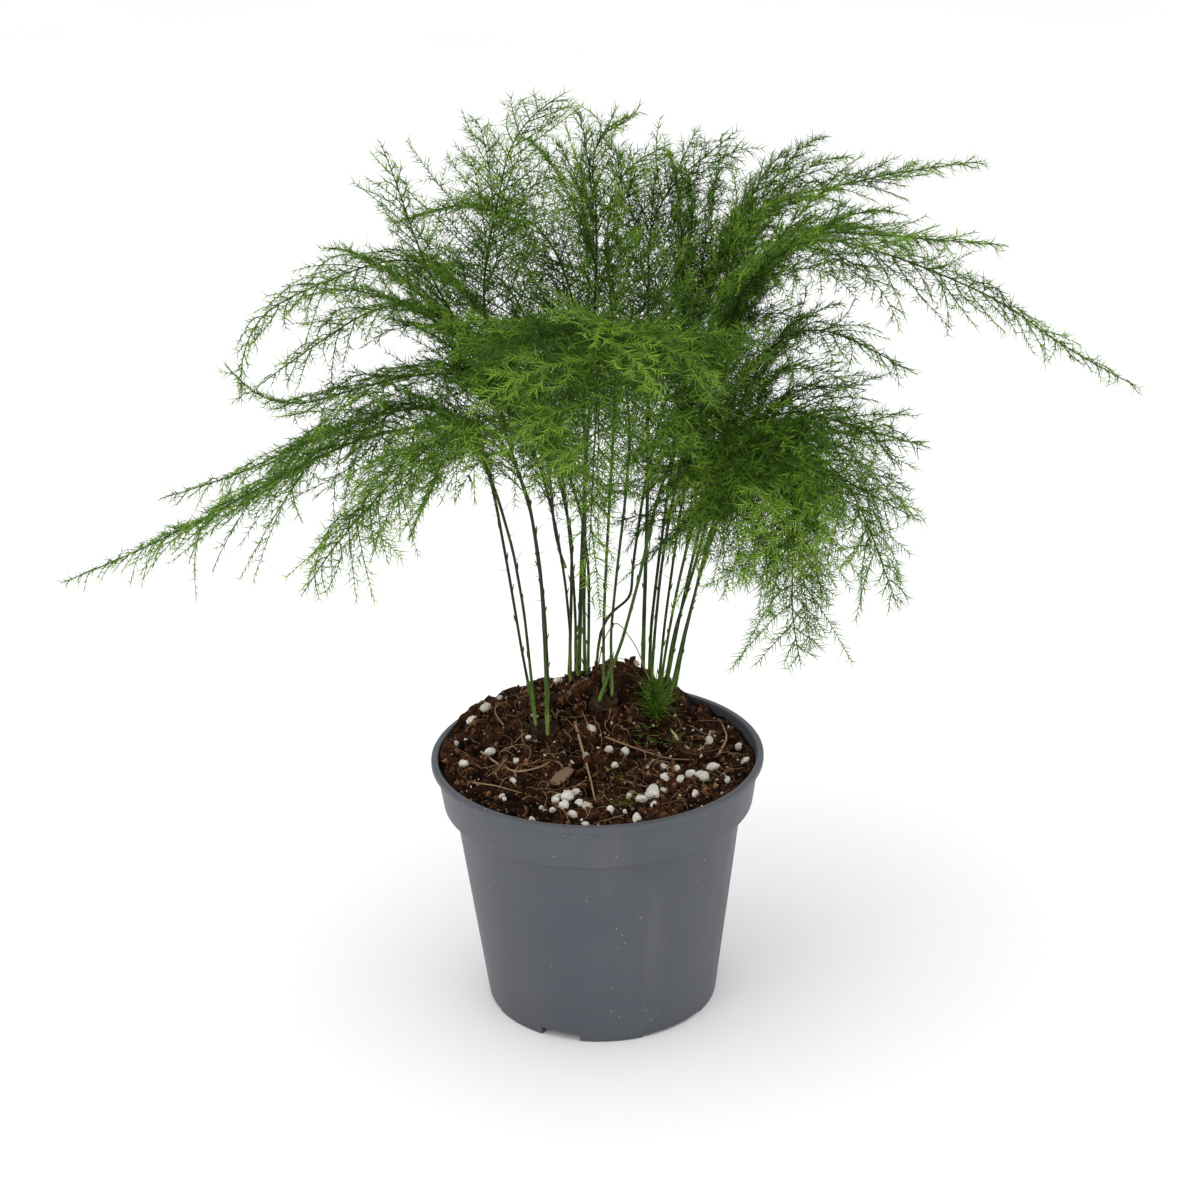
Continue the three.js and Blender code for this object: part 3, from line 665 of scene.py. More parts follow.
def lump_pattern(level):
    """The points and triangles of an icosphere of radius one."""
    ball = bmesh.new()
    bmesh.ops.create_icosphere(ball, subdivisions=level, radius=1.0)
    return triangles_of(ball)


def chipped(directions, count):
    """How far lumps reach in each direction when random flat breaks cut them."""
    breaks = unit(rng.normal(size=(count, 9, 3)))
    depth = rng.uniform(0.4, 0.95, (count, 9))
    facing = np.einsum("pc,nkc->npk", directions, breaks)
    reach = np.where(facing > 0.1, depth[:, None] / np.maximum(facing, 0.1), 2.0)
    return np.minimum(reach.min(axis=2), 1.3)


def scatter_lumps(shape, places, sizes, tones, level, ragged=0.3, broken=False):
    """Irregular crumbs, each turned, stretched and dented or broken in its own way."""
    pattern, triangles = lump_pattern(level)
    count = len(places)
    axes = unit(rng.normal(size=(count, 3)))
    sides = across(rng.normal(size=(count, 3)), axes)
    others = np.cross(axes, sides)
    stretch = rng.uniform(0.6, 1.25, (count, 3))
    dents = 1 + ragged * rng.uniform(-1, 1, (count, len(pattern)))
    if broken:
        dents *= chipped(unit(pattern), count)
    elif level > 1:
        knobs = unit(rng.normal(size=(count, 7, 3)))
        nearness = np.einsum("pc,nkc->npk", unit(pattern), knobs).max(axis=2)
        dents = (0.72 + 0.5 * nearness) * (1 + 0.35 * ragged * rng.uniform(-1, 1, dents.shape))
    local = pattern[None] * stretch[:, None] * dents[..., None] * sizes[:, None, None]
    points = (local[..., :1] * axes[:, None] + local[..., 1:2] * sides[:, None]
              + local[..., 2:] * others[:, None] + places[:, None])
    index = (np.arange(count)[:, None, None] * len(pattern) + triangles).reshape(-1, 3)
    shape.add(points.reshape(-1, 3), index, np.repeat(tones, len(pattern)))


def inside_pot(count, radius):
    """Random places on the soil, as pairs of x and y."""
    away = radius * np.sqrt(rng.uniform(0, 1, count))
    turn = rng.uniform(0, TURN, count)
    return np.stack([away * np.cos(turn), away * np.sin(turn)], 1)


def on_soil(spots, lift):
    return np.array([(x, y, soil_top(x, y) + up) for (x, y), up in zip(spots, lift)])


def crumbs(shape):
    edge = soil_edge(1.6 * MM)
    for count, small, large, level in CRUMB_SORTS:
        sizes = small * MM * (large / small) ** rng.uniform(0, 1, count)
        spots = inside_pot(count, edge)
        tones = np.clip(rng.normal(CRUMB_TONE, CRUMB_TONE_SPREAD, count), 0.0, 1.0)
        scatter_lumps(shape, on_soil(spots, CRUMB_LIFT * sizes), sizes, tones, level, 0.22, True)


def fibres(shape):
    """Short straw-coloured fibres that lie every way on the soil."""
    spots = inside_pot(FINE_FIBRES, 50 * MM)
    for x, y in spots:
        heading = rng.uniform(0, TURN)
        bend = rng.uniform(-190, 190)
        length = rng.uniform(4, 17) * MM
        route = []
        for share in np.linspace(0, 1, 7):
            turn = heading + math.radians(bend) * share
            x += math.cos(turn) * length / 6
            y += math.sin(turn) * length / 6
            if math.hypot(x, y) > FIBRE_LIMIT:
                break
            lift = (0.4 + 1.2 * math.sin(math.pi * share)) * MM
            route.append((x, y, soil_top(x, y) + lift))
        if len(route) < 4:
            continue
        curve = smooth_curve(route, 1.2 * MM, 0.8)
        radii = np.linspace(1, 0.5, len(curve)) * rng.uniform(0.08, 0.2) * MM
        shape.add(*tube(curve, radii, 4), kind=1.0, along=rng.uniform(0, 1))


# ------------------------------------------------------------------ curves and skeletons


def resample(points, step):
    """Evenly spaced points along a polyline, and the distance of each from its start."""
    points = np.asarray(points, dtype=float)
    gaps = np.linalg.norm(np.diff(points, axis=0), axis=1)
    distance = np.concatenate([[0], np.cumsum(gaps)])
    count = max(3, int(round(distance[-1] / step)) + 1)
    even = np.linspace(0, distance[-1], count)
    return np.stack([np.interp(even, distance, points[:, k]) for k in range(3)], 1)


def smooth_curve(points, step, spread):
    """The polyline resampled and rounded: spread is in steps, and the ends stay."""
    even = resample(points, step)
    reach = min(int(3 * spread) + 1, len(even) - 1)
    before = 2 * even[0] - even[reach:0:-1]
    after = 2 * even[-1] - even[-2:-reach - 2:-1]
    padded = np.concatenate([before, even, after])
    weights = np.exp(-0.5 * (np.arange(-reach, reach + 1) / max(spread, 0.1)) ** 2)
    weights /= weights.sum()
    return np.stack([np.convolve(padded[:, k], weights, "valid") for k in range(3)], 1)


def skeleton(node, reach):
    """A CAD node's thin tubes as ring centres: places, corners in each ring, and links."""
    points, edges = corners_of(node)
    tree = KDTree(len(points))
    for index, point in enumerate(points):
        tree.insert(point, index)
    tree.balance()
    group = np.full(len(points), -1)
    groups = 0
    for start in range(len(points)):
        if group[start] >= 0:
            continue
        group[start] = groups
        waiting = [start]
        while waiting:
            for _, near, _ in tree.find_range(points[waiting.pop()], reach):
                if group[near] < 0:
                    group[near] = groups
                    waiting.append(near)
        groups += 1
    sizes = np.bincount(group)
    centres = np.stack([np.bincount(group, points[:, k]) for k in range(3)], 1) / sizes[:, None]
    links = [set() for _ in range(groups)]
    for a, b in group[edges]:
        if a != b:
            links[a].add(int(b))
            links[b].add(int(a))
    return centres, sizes, links


def ways_from(start, centres, links):
    """The distance of every ring from one, and the ring before it on the way."""
    distance = {start: 0.0}
    before = {}
    waiting = [(0.0, start)]
    while waiting:
        here, ring = heapq.heappop(waiting)
        if here > distance[ring]:
            continue
        for other in links[ring]:
            there = here + float(np.linalg.norm(centres[ring] - centres[other]))
            if there < distance.get(other, math.inf):
                distance[other] = there
                before[other] = ring
                heapq.heappush(waiting, (there, other))
    return distance, before


def way_back(ring, before):
    way = [ring]
    while way[-1] in before:
        way.append(before[way[-1]])
    return way[::-1]


def nearest(places, target):
    return int(np.argmin(np.linalg.norm(places - target, axis=1)))


class Frond:
    """The course of one frond: its rachis, the plane it lies in and its side branches."""

    STEP = 1.0 * MM

    def __init__(self, name):
        stem_centres, _, _ = skeleton(NODES["stem_" + name], 3.0 * MM)
        centres, sizes, links = skeleton(NODES["frond_" + name], 1.7 * MM)
        gaps = np.linalg.norm(centres[:, None] - stem_centres[None], axis=2)
        root = int(np.argmin(gaps.min(axis=1)))
        self.stem_top = stem_centres[int(np.argmin(gaps[root]))]
        distance, before = ways_from(root, centres, links)
        tip = max(distance, key=distance.get)
        self.name = name
        self.rachis = smooth_curve(centres[way_back(tip, before)], self.STEP, 5.0)
        self.ahead = unit(np.gradient(self.rachis, axis=0))
        self.length = self.STEP * (len(self.rachis) - 1)
        self.read_branches(centres, sizes, links, tip)

    def read_branches(self, centres, sizes, links, tip):
        """The CAD's side branches, sorted from the foot up: station, bend and tip offsets."""
        found = []
        for leaf in range(len(centres)):
            if sizes[leaf] > 1 or leaf == tip or len(links[leaf]) != 1:
                continue
            bend = next(iter(links[leaf]))
            feet = [ring for ring in links[bend] if ring != leaf]
            if not feet:
                continue
            foot = centres[feet[0]]
            station = nearest(self.rachis, foot)
            found.append((station, centres[bend] - foot, centres[leaf] - foot))
        found.sort(key=lambda branch: branch[0])
        self.stations = np.array([branch[0] for branch in found])
        bends = np.array([branch[1] for branch in found])
        tips = np.array([branch[2] for branch in found])
        self.lengths = np.linalg.norm(tips, axis=1)
        side = across(tips[0], self.ahead[self.stations[0]])
        signs, sides = [], []
        for station, offset in zip(self.stations, tips):
            direction = across(offset, self.ahead[station])
            sign = 1.0 if direction @ side >= 0 else -1.0
            side = across(unit(side + sign * direction), self.ahead[station])
            signs.append(sign)
            sides.append(side)
        self.signs = np.array(signs)
        sides = np.array(sides)
        marks = np.arange(len(self.rachis))
        blended = np.stack([np.interp(marks, self.stations, sides[:, k]) for k in range(3)], 1)
        self.side = across(blended, self.ahead)
        self.normal = np.cross(self.ahead, self.side)
        self.bends = self.seen_from_rachis(bends)
        self.tips = self.seen_from_rachis(tips)

    def seen_from_rachis(self, offsets):
        """Offsets per unit of branch length, along the rachis, out to the side and off the plane."""
        here = self.stations
        axes = (self.ahead, self.side, self.normal)
        parts = [np.sum(offsets * axis[here], axis=1) for axis in axes]
        parts[1] *= self.signs
        return np.stack(parts, 1) / self.lengths[:, None]

    def branch_at(self, station, sign, length):
        """A side branch of that length, in the way of the CAD's on the same side nearby."""
        own = self.signs == sign
        if own.sum() < 2:
            own = np.ones(len(self.signs), dtype=bool)
        offsets = []
        for known in (self.bends[own], self.tips[own]):
            parts = [np.interp(station, self.stations[own], known[:, k]) for k in range(3)]
            size = np.linalg.norm(parts)
            offset = unit(parts[0] * self.ahead[station] + parts[2] * self.normal[station]
                          + sign * BRANCH_SPREAD * parts[1] * self.side[station])
            offsets.append(offset * size * length)
        return offsets

    def reach_at(self, station, tail):
        """How long the side branches are here: the CAD's longest nearby, or the tail's taper."""
        near = np.abs(self.stations - station) * self.STEP < NEARBY
        longest = self.lengths[near].max() if near.any() else 0.0
        left = self.length - station * self.STEP
        return max(BRANCH_GROWTH * longest, min(tail * left + SHORTEST_BRANCH, LONGEST_TAIL_BRANCH))


# ------------------------------------------------------------------ the fronds

NEEDLE_BUDGET = 136000
BRANCH_STEP = 5.2 * MM  # between one side branch and the next on the same side
BRANCH_GROWTH = 1.16  # how much longer the branches are than the CAD's, which stay apart
BRANCH_SPREAD = 1.6  # and how much wider they open
NEARBY = 18 * MM  # how far along the rachis the CAD's branches set the length of new ones
SHORTEST_BRANCH, LONGEST_TAIL_BRANCH = 2.5 * MM, 24 * MM
BRANCH_LENGTHS = (0.5, 1.12)  # shares of the reach a side branch has at its station
UNEVEN_STEP = (0.75, 1.25)
STRAY, SAG_STRAY = 0.12, 0.3  # how far tips stray, and how much more where branches sag
TWIG_STEP = 4.2 * MM
TWIG_LEAN = (36, 56)  # degrees from the branch
TWIG_RISE = 0.22
TWIG_SHARE = 0.46  # a twig's length as a share of the branch that is left
LONG_STEP = 4.5 * MM  # between the short branches of a long one
LONG_LEAN = (42, 56)
LONG_SHARE = 0.42
NEEDLE_RADII = (0.15, 0.21)  # millimetres
NEEDLE_LENGTHS = (0.65, 1.1)  # shares of the frond's needle length
NEEDLE_LEAN, LEAN_SPREAD = 54, 11  # degrees from the axis
LEAN_LOST = 16  # how much less needles lean at the axis's tip
NEEDLE_SCATTER = 0.8  # radians round the axis, out of the frond's plane
TIP_TONE, TONE_LOST, TONE_SPREAD = 0.22, 0.03, 0.1
AXIS_RADII = (0.26, 0.1)  # a side branch's at its foot and tip, in millimetres
YOUNG_LOOK = {"light": 0.74, "needle": 6.0, "scatter": 0.3}

# Each frond's lightness (0 to 1), needle length in millimetres, how long the side branches of
# its tail are as a share of the distance left to the tip, and how far its branches sag.
FROND_LOOKS = {
    name: dict(zip(("light", "needle", "tail", "sag"), values)) for name, values in {
        "01": (0.64, 5.2, 0.27, 0.16), "02": (0.60, 5.4, 0.80, 0.00), "03": (0.60, 5.2, 0.60, 0.05),
        "03_fork": (0.60, 5.0, 0.36, 0.10), "04": (0.58, 5.4, 0.90, 0.00),
        "05": (0.44, 5.4, 0.60, 0.05), "06": (0.60, 5.2, 0.50, 0.15), "07": (0.48, 5.4, 0.60, 0.05),
        "08": (0.56, 5.4, 0.60, 0.00), "09": (0.60, 6.0, 0.90, 0.20), "10": (0.47, 7.2, 0.30, 0.15),
        "11": (0.55, 5.4, 0.80, 0.00), "12": (0.56, 5.2, 0.45, 0.00), "13": (0.58, 5.2, 0.32, 0.15),
        "14": (0.56, 5.2, 0.36, 0.20), "15": (0.52, 5.2, 0.45, 0.30), "16": (0.50, 5.4, 0.50, 0.25),
        "17": (0.56, 6.0, 0.90, 0.20), "18": (0.60, 5.2, 0.50, 0.10), "19": (0.64, 5.4, 0.80, 0.25),
        "20": (0.58, 5.2, 0.40, 0.20), "21": (0.44, 5.4, 0.60, 0.05), "22": (0.58, 5.2, 0.50, 0.15),
        "23": (0.52, 6.0, 0.65, 0.15),
    }.items()
}

# How far apart these fronds' needles stand, where 1 is the other fronds' spacing.
THINNED = {"01": 1.3, "05": 1.15, "07": 1.15, "08": 1.1, "21": 1.15, "15": 0.9, "16": 0.75,
           "17": 0.75, "23": 0.75, "12": 0.9, "09": 0.9}

# Side branches that have grown far longer than their neighbours: how far up the frond each
# leaves, and its tip in millimetres.
LONG_BRANCHES = {
    "12": [(0.15, 47, 40, 298), (0.25, 72, 62, 299), (0.4, 96, 75, 293), (0.1, 30, 44, 303),
           (0.3, 86, 66, 303), (0.2, 58, 40, 286), (0.35, 80, 46, 285), (0.15, 36, 44, 296),
           (0.3, 68, 52, 296), (0.45, 92, 60, 280)],
    "18": [(0.35, 84, 10, 298), (0.5, 106, -5, 292), (0.2, 60, 18, 290), (0.3, 72, 22, 279),
           (0.3, 50, 20, 290)],
    "13": [(0.3, 90, -5, 264), (0.22, 80, 0, 247), (0.4, 105, -5, 253), (0.15, 64, 20, 266)],
    "14": [(0.35, 91, -12, 232), (0.25, 76, -5, 239)],
    "06": [(0.3, -67, -12, 263), (0.15, -50, -32, 240)],
    "03_fork": [(0.3, -77, 12, 246)],
    "03": [(0.4, -88, 0, 284)],
    "22": [(0.4, -94, -20, 272), (0.2, -18, -30, 262)],
    "04": [(0.6, -2, 44, 319), (0.5, -10, 42, 309), (0.5, -22, 30, 313), (0.35, 22, 40, 300)],
    "02": [(0.6, -36, 8, 325), (0.5, -38, 2, 312), (0.45, -18, 4, 316), (0.4, -4, 16, 309)],
    "08": [(0.6, 21, 80, 297)],
    "11": [(0.5, 62, 50, 303), (0.35, 6, 50, 309), (0.25, 52, 44, 290), (0.7, 40, 52, 309),
           (0.5, 26, 36, 300)],
    "10": [(0.5, 2, -90, 214), (0.4, 15, -75, 220), (0.35, -15, -70, 219), (0.25, -46, -60, 262),
           (0.2, -14, -48, 254), (0.12, 22, -40, 276), (0.3, 42, -62, 243), (0.45, -38, -68, 258),
           (0.55, -31, -84, 252), (0.65, -21, -96, 242), (0.5, 42, -70, 254), (0.4, 24, -62, 266)],
    "09": [(0.6, 36, -45, 182), (0.5, 26, -25, 185), (0.25, 14, -10, 290), (0.4, 16, -52, 214),
           (0.7, 24, -66, 198), (0.55, 34, -58, 190)],
    "17": [(0.5, 58, -55, 171), (0.4, 48, -35, 177), (0.65, 71, -62, 161), (0.3, 38, -38, 262),
           (0.3, 22, -46, 224), (0.45, 34, -56, 206), (0.5, 48, -52, 208), (0.7, 36, -66, 186),
           (0.6, 50, -58, 184), (0.2, 30, -50, 212)],
    "23": [(0.4, 73, -45, 170), (0.3, 50, -42, 229), (0.4, 58, -44, 214), (0.5, 66, -46, 192),
           (0.6, 60, -56, 186), (0.35, 74, -52, 182)],
    "19": [(0.5, -82, -78, 207), (0.4, -72, -60, 196), (0.3, -60, -45, 198), (0.2, -44, -48, 212),
           (0.35, -58, -58, 204)],
    "20": [(0.4, -86, 5, 188), (0.2, -62, -6, 197)],
    "01": [(0.4, -98, -25, 197), (0.5, -114, -20, 201), (0.2, -72, -40, 206)],
    "16": [(0.5, 97, -35, 182), (0.3, 64, -34, 198), (0.4, 80, -44, 190)],
    "15": [(0.5, 104, -25, 210), (0.3, 70, -30, 208)],
}

# Young sprays that stand out at the front, in the same way.
YOUNG_SPRAYS = {
    "10": [(0.62, -36, -98, 258), (0.72, -29, -102, 245), (0.8, -20, -104, 234),
           (0.55, 22, -96, 260), (0.5, 40, -84, 260), (0.95, 2, -112, 196), (0.35, 2, -78, 272),
           (0.3, -10, -70, 278)],
    "23": [(0.7, 44, -84, 192), (0.85, 64, -72, 192)],
    "17": [(0.6, 46, -84, 208)],
    "19": [(0.7, -76, -80, 210), (0.8, -60, -90, 208)],
}


def bent_line(foot, bend, tip, count):
    """Points on the quadratic curve from foot through foot + bend to foot + tip."""
    control = 2 * bend - 0.5 * tip
    t = np.linspace(0, 1, count)[:, None]
    return foot + 2 * t * (1 - t) * control + t * t * tip


def side_branches(frond):
    """Every side branch of a frond, as a curve with the frond's normal at its foot."""
    step = BRANCH_STEP / frond.STEP
    last = len(frond.rachis) - 1
    look = FROND_LOOKS[frond.name]
    curves = []
    for sign in (-1.0, 1.0):
        station = frond.stations[0] + rng.uniform(-0.5, 0.5) * step
        while station < last - 2:
            here = int(station)
            length = frond.reach_at(here, look["tail"]) * rng.uniform(*BRANCH_LENGTHS)
            stray = STRAY + SAG_STRAY * look["sag"]
            bend, tip = frond.branch_at(here, sign, length)
            tip = tip + rng.normal(0, stray, 3) * length - UP * look["sag"] * length
            tip = np.clip(frond.rachis[here] + tip, *cad_bounds) - frond.rachis[here]
            bend = bend + rng.normal(0, 0.02, 3) * length - UP * 0.3 * look["sag"] * length
            count = max(4, int(length / (4 * MM)) + 2)
            curve = bent_line(frond.rachis[here], bend, tip, count)
            curves.append((curve, frond.normal[here], length, station / last))
            station += step * rng.uniform(*UNEVEN_STEP)
    for share, *tip in LONG_BRANCHES.get(frond.name, ()):
        curves += long_branch(frond, int(share * last), np.array(tip) * MM)
    return curves


def long_branch(frond, station, tip):
    """One long side branch that arches to its tip, with short branches of its own."""
    foot = frond.rachis[station]
    way = tip - foot
    length = np.linalg.norm(way)
    bend = 0.5 * way + 0.14 * length * (0.6 * UP + 0.8 * frond.ahead[station])
    main = bent_line(foot, bend, way, int(length / (3 * MM)) + 3)
    ahead = unit(np.gradient(main, axis=0))
    flat = across(frond.normal[station] + 0.5 * UP, ahead[0])
    share = station / len(frond.rachis)
    curves = [(main, flat, length, min(1.0, share + 0.2))]
    marks = np.arange(0.1, 0.94, LONG_STEP / length)
    for number, mark in enumerate(marks):
        here = min(int(mark * (len(main) - 1)), len(main) - 1)
        side = (-1) ** number * unit(np.cross(flat, ahead[here]))
        size = max(3 * MM, LONG_SHARE * length * (1 - mark) ** 0.8) * rng.uniform(0.7, 1.1)
        lean = math.radians(rng.uniform(*LONG_LEAN))
        branch = size * unit(math.cos(lean) * ahead[here] + math.sin(lean) * side - 0.12 * UP)
        line = bent_line(main[here], 0.52 * branch + 0.03 * size * UP, branch, 5)
        curves.append((line, flat, size, min(1.0, share + 0.3)))
    return curves


def twigs_on(curve, normal, length, _):
    """The twigs of one side branch: feet, directions, lengths, and place along the branch."""
    marks = np.arange(2.0 * MM, length - 4 * MM, TWIG_STEP)
    if len(marks) == 0:
        return None
    marks = marks + rng.uniform(-0.3, 0.3, len(marks)) * TWIG_STEP
    share = marks / length
    places = np.linspace(0, 1, len(curve))
    feet = np.stack([np.interp(share, places, curve[:, k]) for k in range(3)], 1)
    ahead = unit(np.gradient(curve, axis=0))
    ahead = unit(np.stack([np.interp(share, places, ahead[:, k]) for k in range(3)], 1))
    side = np.cross(np.broadcast_to(normal, ahead.shape), ahead)
    sign = np.where(np.arange(len(marks)) % 2 == 0, 1.0, -1.0)[:, None]
    angle = np.radians(rng.uniform(*TWIG_LEAN, len(marks)))[:, None]
    rise = rng.normal(0, TWIG_RISE, len(marks))[:, None]
    directions = unit(np.cos(angle) * ahead + np.sin(angle) * sign * unit(side) + rise * normal)
    lengths = np.clip(TWIG_SHARE * (length - marks), 1.5 * MM, 12 * MM)
    lengths = lengths * rng.uniform(0.65, 1.1, len(marks))
    return feet, directions, lengths, share


def pair_places(foot, directions, lengths, share, spacing):
    """Places of the needle pairs along straight twigs, with each one's direction."""
    most = int(lengths.max() / spacing) + 1
    steps = (np.arange(most)[None] + rng.uniform(0.3, 0.9, (len(foot), 1))) * spacing
    used = steps < lengths[:, None]
    row, _ = np.nonzero(used)
    at = steps[used][:, None]
    tip_share = np.clip(share[row] + 0.5 * steps[used] / lengths[row], 0, 1)
    return foot[row] + directions[row] * at, directions[row], tip_share


def along_curve(curve, spacing, start=0.0):
    """Evenly spaced places on a curve, with its direction at each."""
    even = resample(curve, spacing)
    ahead = unit(np.gradient(even, axis=0))
    share = np.linspace(start, 1, len(even))
    return even, ahead, share


def needles(shape, places, ahead, share, normal, look, tone_shift):
    """A pair of needles at every place, one to each side and mostly in the frond's plane."""
    count = 2 * len(places)
    feet, axis, normal = (np.repeat(each, 2, axis=0) for each in (places, ahead, normal))
    share = np.repeat(share, 2)
    side = unit(np.cross(normal, axis)) * np.tile([-1.0, 1.0], len(places))[:, None]
    turn = rng.normal(0, look.get("scatter", NEEDLE_SCATTER), count)[:, None]
    lean = np.radians(rng.normal(NEEDLE_LEAN, LEAN_SPREAD, count) - LEAN_LOST * share)[:, None]
    spread = np.cos(turn) * side + np.sin(turn) * normal
    directions = unit(np.cos(lean) * axis + np.sin(lean) * spread)
    lengths = rng.uniform(*NEEDLE_LENGTHS, count) * (1 - 0.3 * share ** 3) * look["needle"] * MM
    radii = rng.uniform(*NEEDLE_RADII, count) * MM
    tone = look["light"] + tone_shift + TIP_TONE * share ** 2 - TONE_LOST
    tone = tone + rng.normal(0, TONE_SPREAD, count)
    add_needles(shape, feet, directions, lengths, radii, tone)


def young_spray(shape, foot, tip):
    """A bright spray whose large needles stand in neat pairs on a line and its side twigs."""
    way = tip - foot
    length = np.linalg.norm(way)
    lines = [bent_line(foot, 0.5 * way + 0.1 * length * UP, way, 16)]
    flat = unit(tip * (1, 1, 0)) + UP
    for number, mark in enumerate(np.arange(0.3, 0.9, 0.1)):
        here = int(mark * 15)
        ahead = unit(lines[0][here + 1] - lines[0][here])
        side = (-1) ** number * unit(np.cross(flat, ahead))
        size = 0.36 * length * (1.15 - mark)
        lines.append(bent_line(lines[0][here], 0.4 * size * side + 0.2 * size * ahead,
                               size * (0.62 * side + 0.72 * ahead), 6))
    for line in lines:
        shape.add(*tube(line, np.linspace(*AXIS_RADII, len(line)) * MM, 4), tone=0.8)
        places, ahead, share = along_curve(line, 1.15 * MM, 0.4)
        normal = across(flat[None], ahead[2:])
        needles(shape, places[2:], ahead[2:], share[2:], normal, YOUNG_LOOK, 0.0)


def grow(frond):
    """A frond's side branches and twigs, before any needle, and the total length of its axes."""
    branches = side_branches(frond)
    twigs = [twigs_on(*branch) for branch in branches]
    total = frond.length
    for (_, _, length, _), twig in zip(branches, twigs):
        total += length + (twig[2].sum() if twig else 0)
    return branches, twigs, total


def rachis_radius(frond):
    """The rachis tapers from the stem's thickness to a thread."""
    share = np.linspace(0, 1, len(frond.rachis))
    return (0.42 * (1 - share) ** 0.8 + 0.14) * MM


def frond_piece(frond, grown, spacing, material):
    shape = Shape()
    look = FROND_LOOKS[frond.name]
    branches, twigs, _ = grown
    last = len(frond.rachis) - 1
    thin = slice(None, None, 3)
    rachis = np.concatenate([frond.rachis[thin], frond.rachis[-1:]])
    radii = np.concatenate([rachis_radius(frond)[thin], [0.1 * MM]])
    shape.add(*tube(rachis, radii, 5), tone=0.25 * look["light"])
    bare = int(0.5 * frond.stations[0])
    places, ahead, share = along_curve(frond.rachis[bare:], spacing)
    normal = frond.normal[(share * last).astype(int)]
    dense = share > 0.25
    needles(shape, places[dense], ahead[dense], share[dense], normal[dense], look, 0.0)
    for (curve, flat, _, height), twig in zip(branches, twigs):
        radii = np.linspace(*AXIS_RADII, len(curve)) * MM
        shape.add(*tube(curve, radii, 3), tone=0.4 * look["light"] + 0.15)
        shift = rng.normal(0, 0.11) + 0.3 * (height - 0.5)
        places, ahead, share = along_curve(curve, spacing)
        normal = np.broadcast_to(flat, ahead[1:].shape)
        needles(shape, places[1:], ahead[1:], share[1:], normal, look, shift)
        if twig is None:
            continue
        feet, directions, lengths, share = twig
        shape.add(*spikes(feet, directions, lengths, 0.12 * MM), tone=0.5)
        places, ahead, share = pair_places(feet, directions, lengths, share, spacing)
        needles(shape, places, ahead, share, np.broadcast_to(flat, ahead.shape), look, shift)
    for share, *tip in YOUNG_SPRAYS.get(frond.name, ()):
        young_spray(shape, frond.rachis[int(share * last)], np.array(tip) * MM)
    shape.piece("foliage_" + frond.name, material, "foliage", "frond_" + frond.name)


# ------------------------------------------------------------------ the stems

SCALE_STEP = 13 * MM
STEM_STEP = 1.5 * MM
STEM_SIDES = 8
SLIMMER = 0.64  # the CAD's stems are stouter, so that they stay solid
PALE_BASE = {"09": 0.9, "17": 0.5, "10": 0.35, "23": 0.4}


def stem_piece(frond, material):
    """A wiry stem with a swollen foot, slight nodes, papery scales and hair-thin twiglets."""
    name = frond.name
    centres, _, links = skeleton(NODES["stem_" + name], 3.0 * MM)
    top = nearest(centres, frond.stem_top)
    distance, before = ways_from(top, centres, links)
    foot = max(distance, key=distance.get)
    route = centres[way_back(foot, before)[::-1]]
    corners, _ = corners_of(NODES["stem_" + name])
    middles = centres[[nearest(centres, c) for c in corners]]
    girth = SLIMMER * np.median(np.linalg.norm(corners - middles, axis=1))
    route = np.concatenate([route, frond.rachis[:3]])
    curve = smooth_curve(route, STEM_STEP, 3.0)
    share = np.linspace(0, 1, len(curve))
    along = np.linspace(0, len(curve) * 1.5, len(curve))
    swelling = 0.06 * np.sin(along / 2.1 + rng.uniform(0, TURN)) * (1 - share)
    end = rachis_radius(frond)[0] / girth
    radii = girth * (1.0 + 0.4 * np.exp(-share * 9) + swelling) * (1 + (end - 1) * share ** 2)
    shape = Shape()
    points, triangles = tube(curve, radii, STEM_SIDES)
    paint = np.concatenate([np.repeat(share, STEM_SIDES), [0, 1]])
    pale = PALE_BASE.get(name, 0.12 if name != "03_fork" else 0.0)
    shape.add(points, triangles, tone=pale, along=paint)
    ahead = unit(np.gradient(curve, axis=0))
    marks = np.arange(4, len(curve) - 2, max(2, int(SCALE_STEP / STEM_STEP)))
    for mark in marks:
        turn = unit(rng.normal(size=3))
        out = across(turn, ahead[mark])
        direction = unit(ahead[mark] + 0.28 * out)
        place = curve[mark] + out * radii[mark] * 0.75
        shape.add(*flat_scale(place, direction, out, 2.6 * MM, 0.75 * radii[mark]), kind=1.0)
    if len(curve) > 30:
        high = np.arange(int(len(curve) * 0.55), len(curve) - 2, 7)
        out = across(unit(rng.normal(size=(len(high), 3))), ahead[high])
        lengths = rng.uniform(3, 9, len(high)) * MM
        hairs = spikes(curve[high], unit(out + 0.5 * ahead[high]), lengths, 0.13 * MM)
        shape.add(*hairs, tone=0.3, along=0.8)
    shape.piece("shoot_" + name, material, "stem", "stem_" + name)


def flat_scale(place, direction, out, length, width):
    """A small pointed scale that clasps the stem: a thin closed wedge."""
    side = unit(np.cross(direction, out))
    thick = 0.16 * MM
    outline = [(-width, 0), (-0.8 * width, 0.45 * length), (0, length), (0.8 * width, 0.45 * length),
               (width, 0)]
    front = [place + side * a + direction * b + out * thick for a, b in outline]
    back = [place + side * a + direction * b - out * thick for a, b in outline]
    faces = [(0, 4, 1), (1, 4, 3), (1, 3, 2), (5, 6, 9), (6, 8, 9), (6, 7, 8)]
    for k in range(5):
        after = (k + 1) % 5
        faces += [(k, k + 5, after), (after, k + 5, after + 5)]
    return np.array(front + back), np.array(faces)


# ------------------------------------------------------------------ what lies in the soil

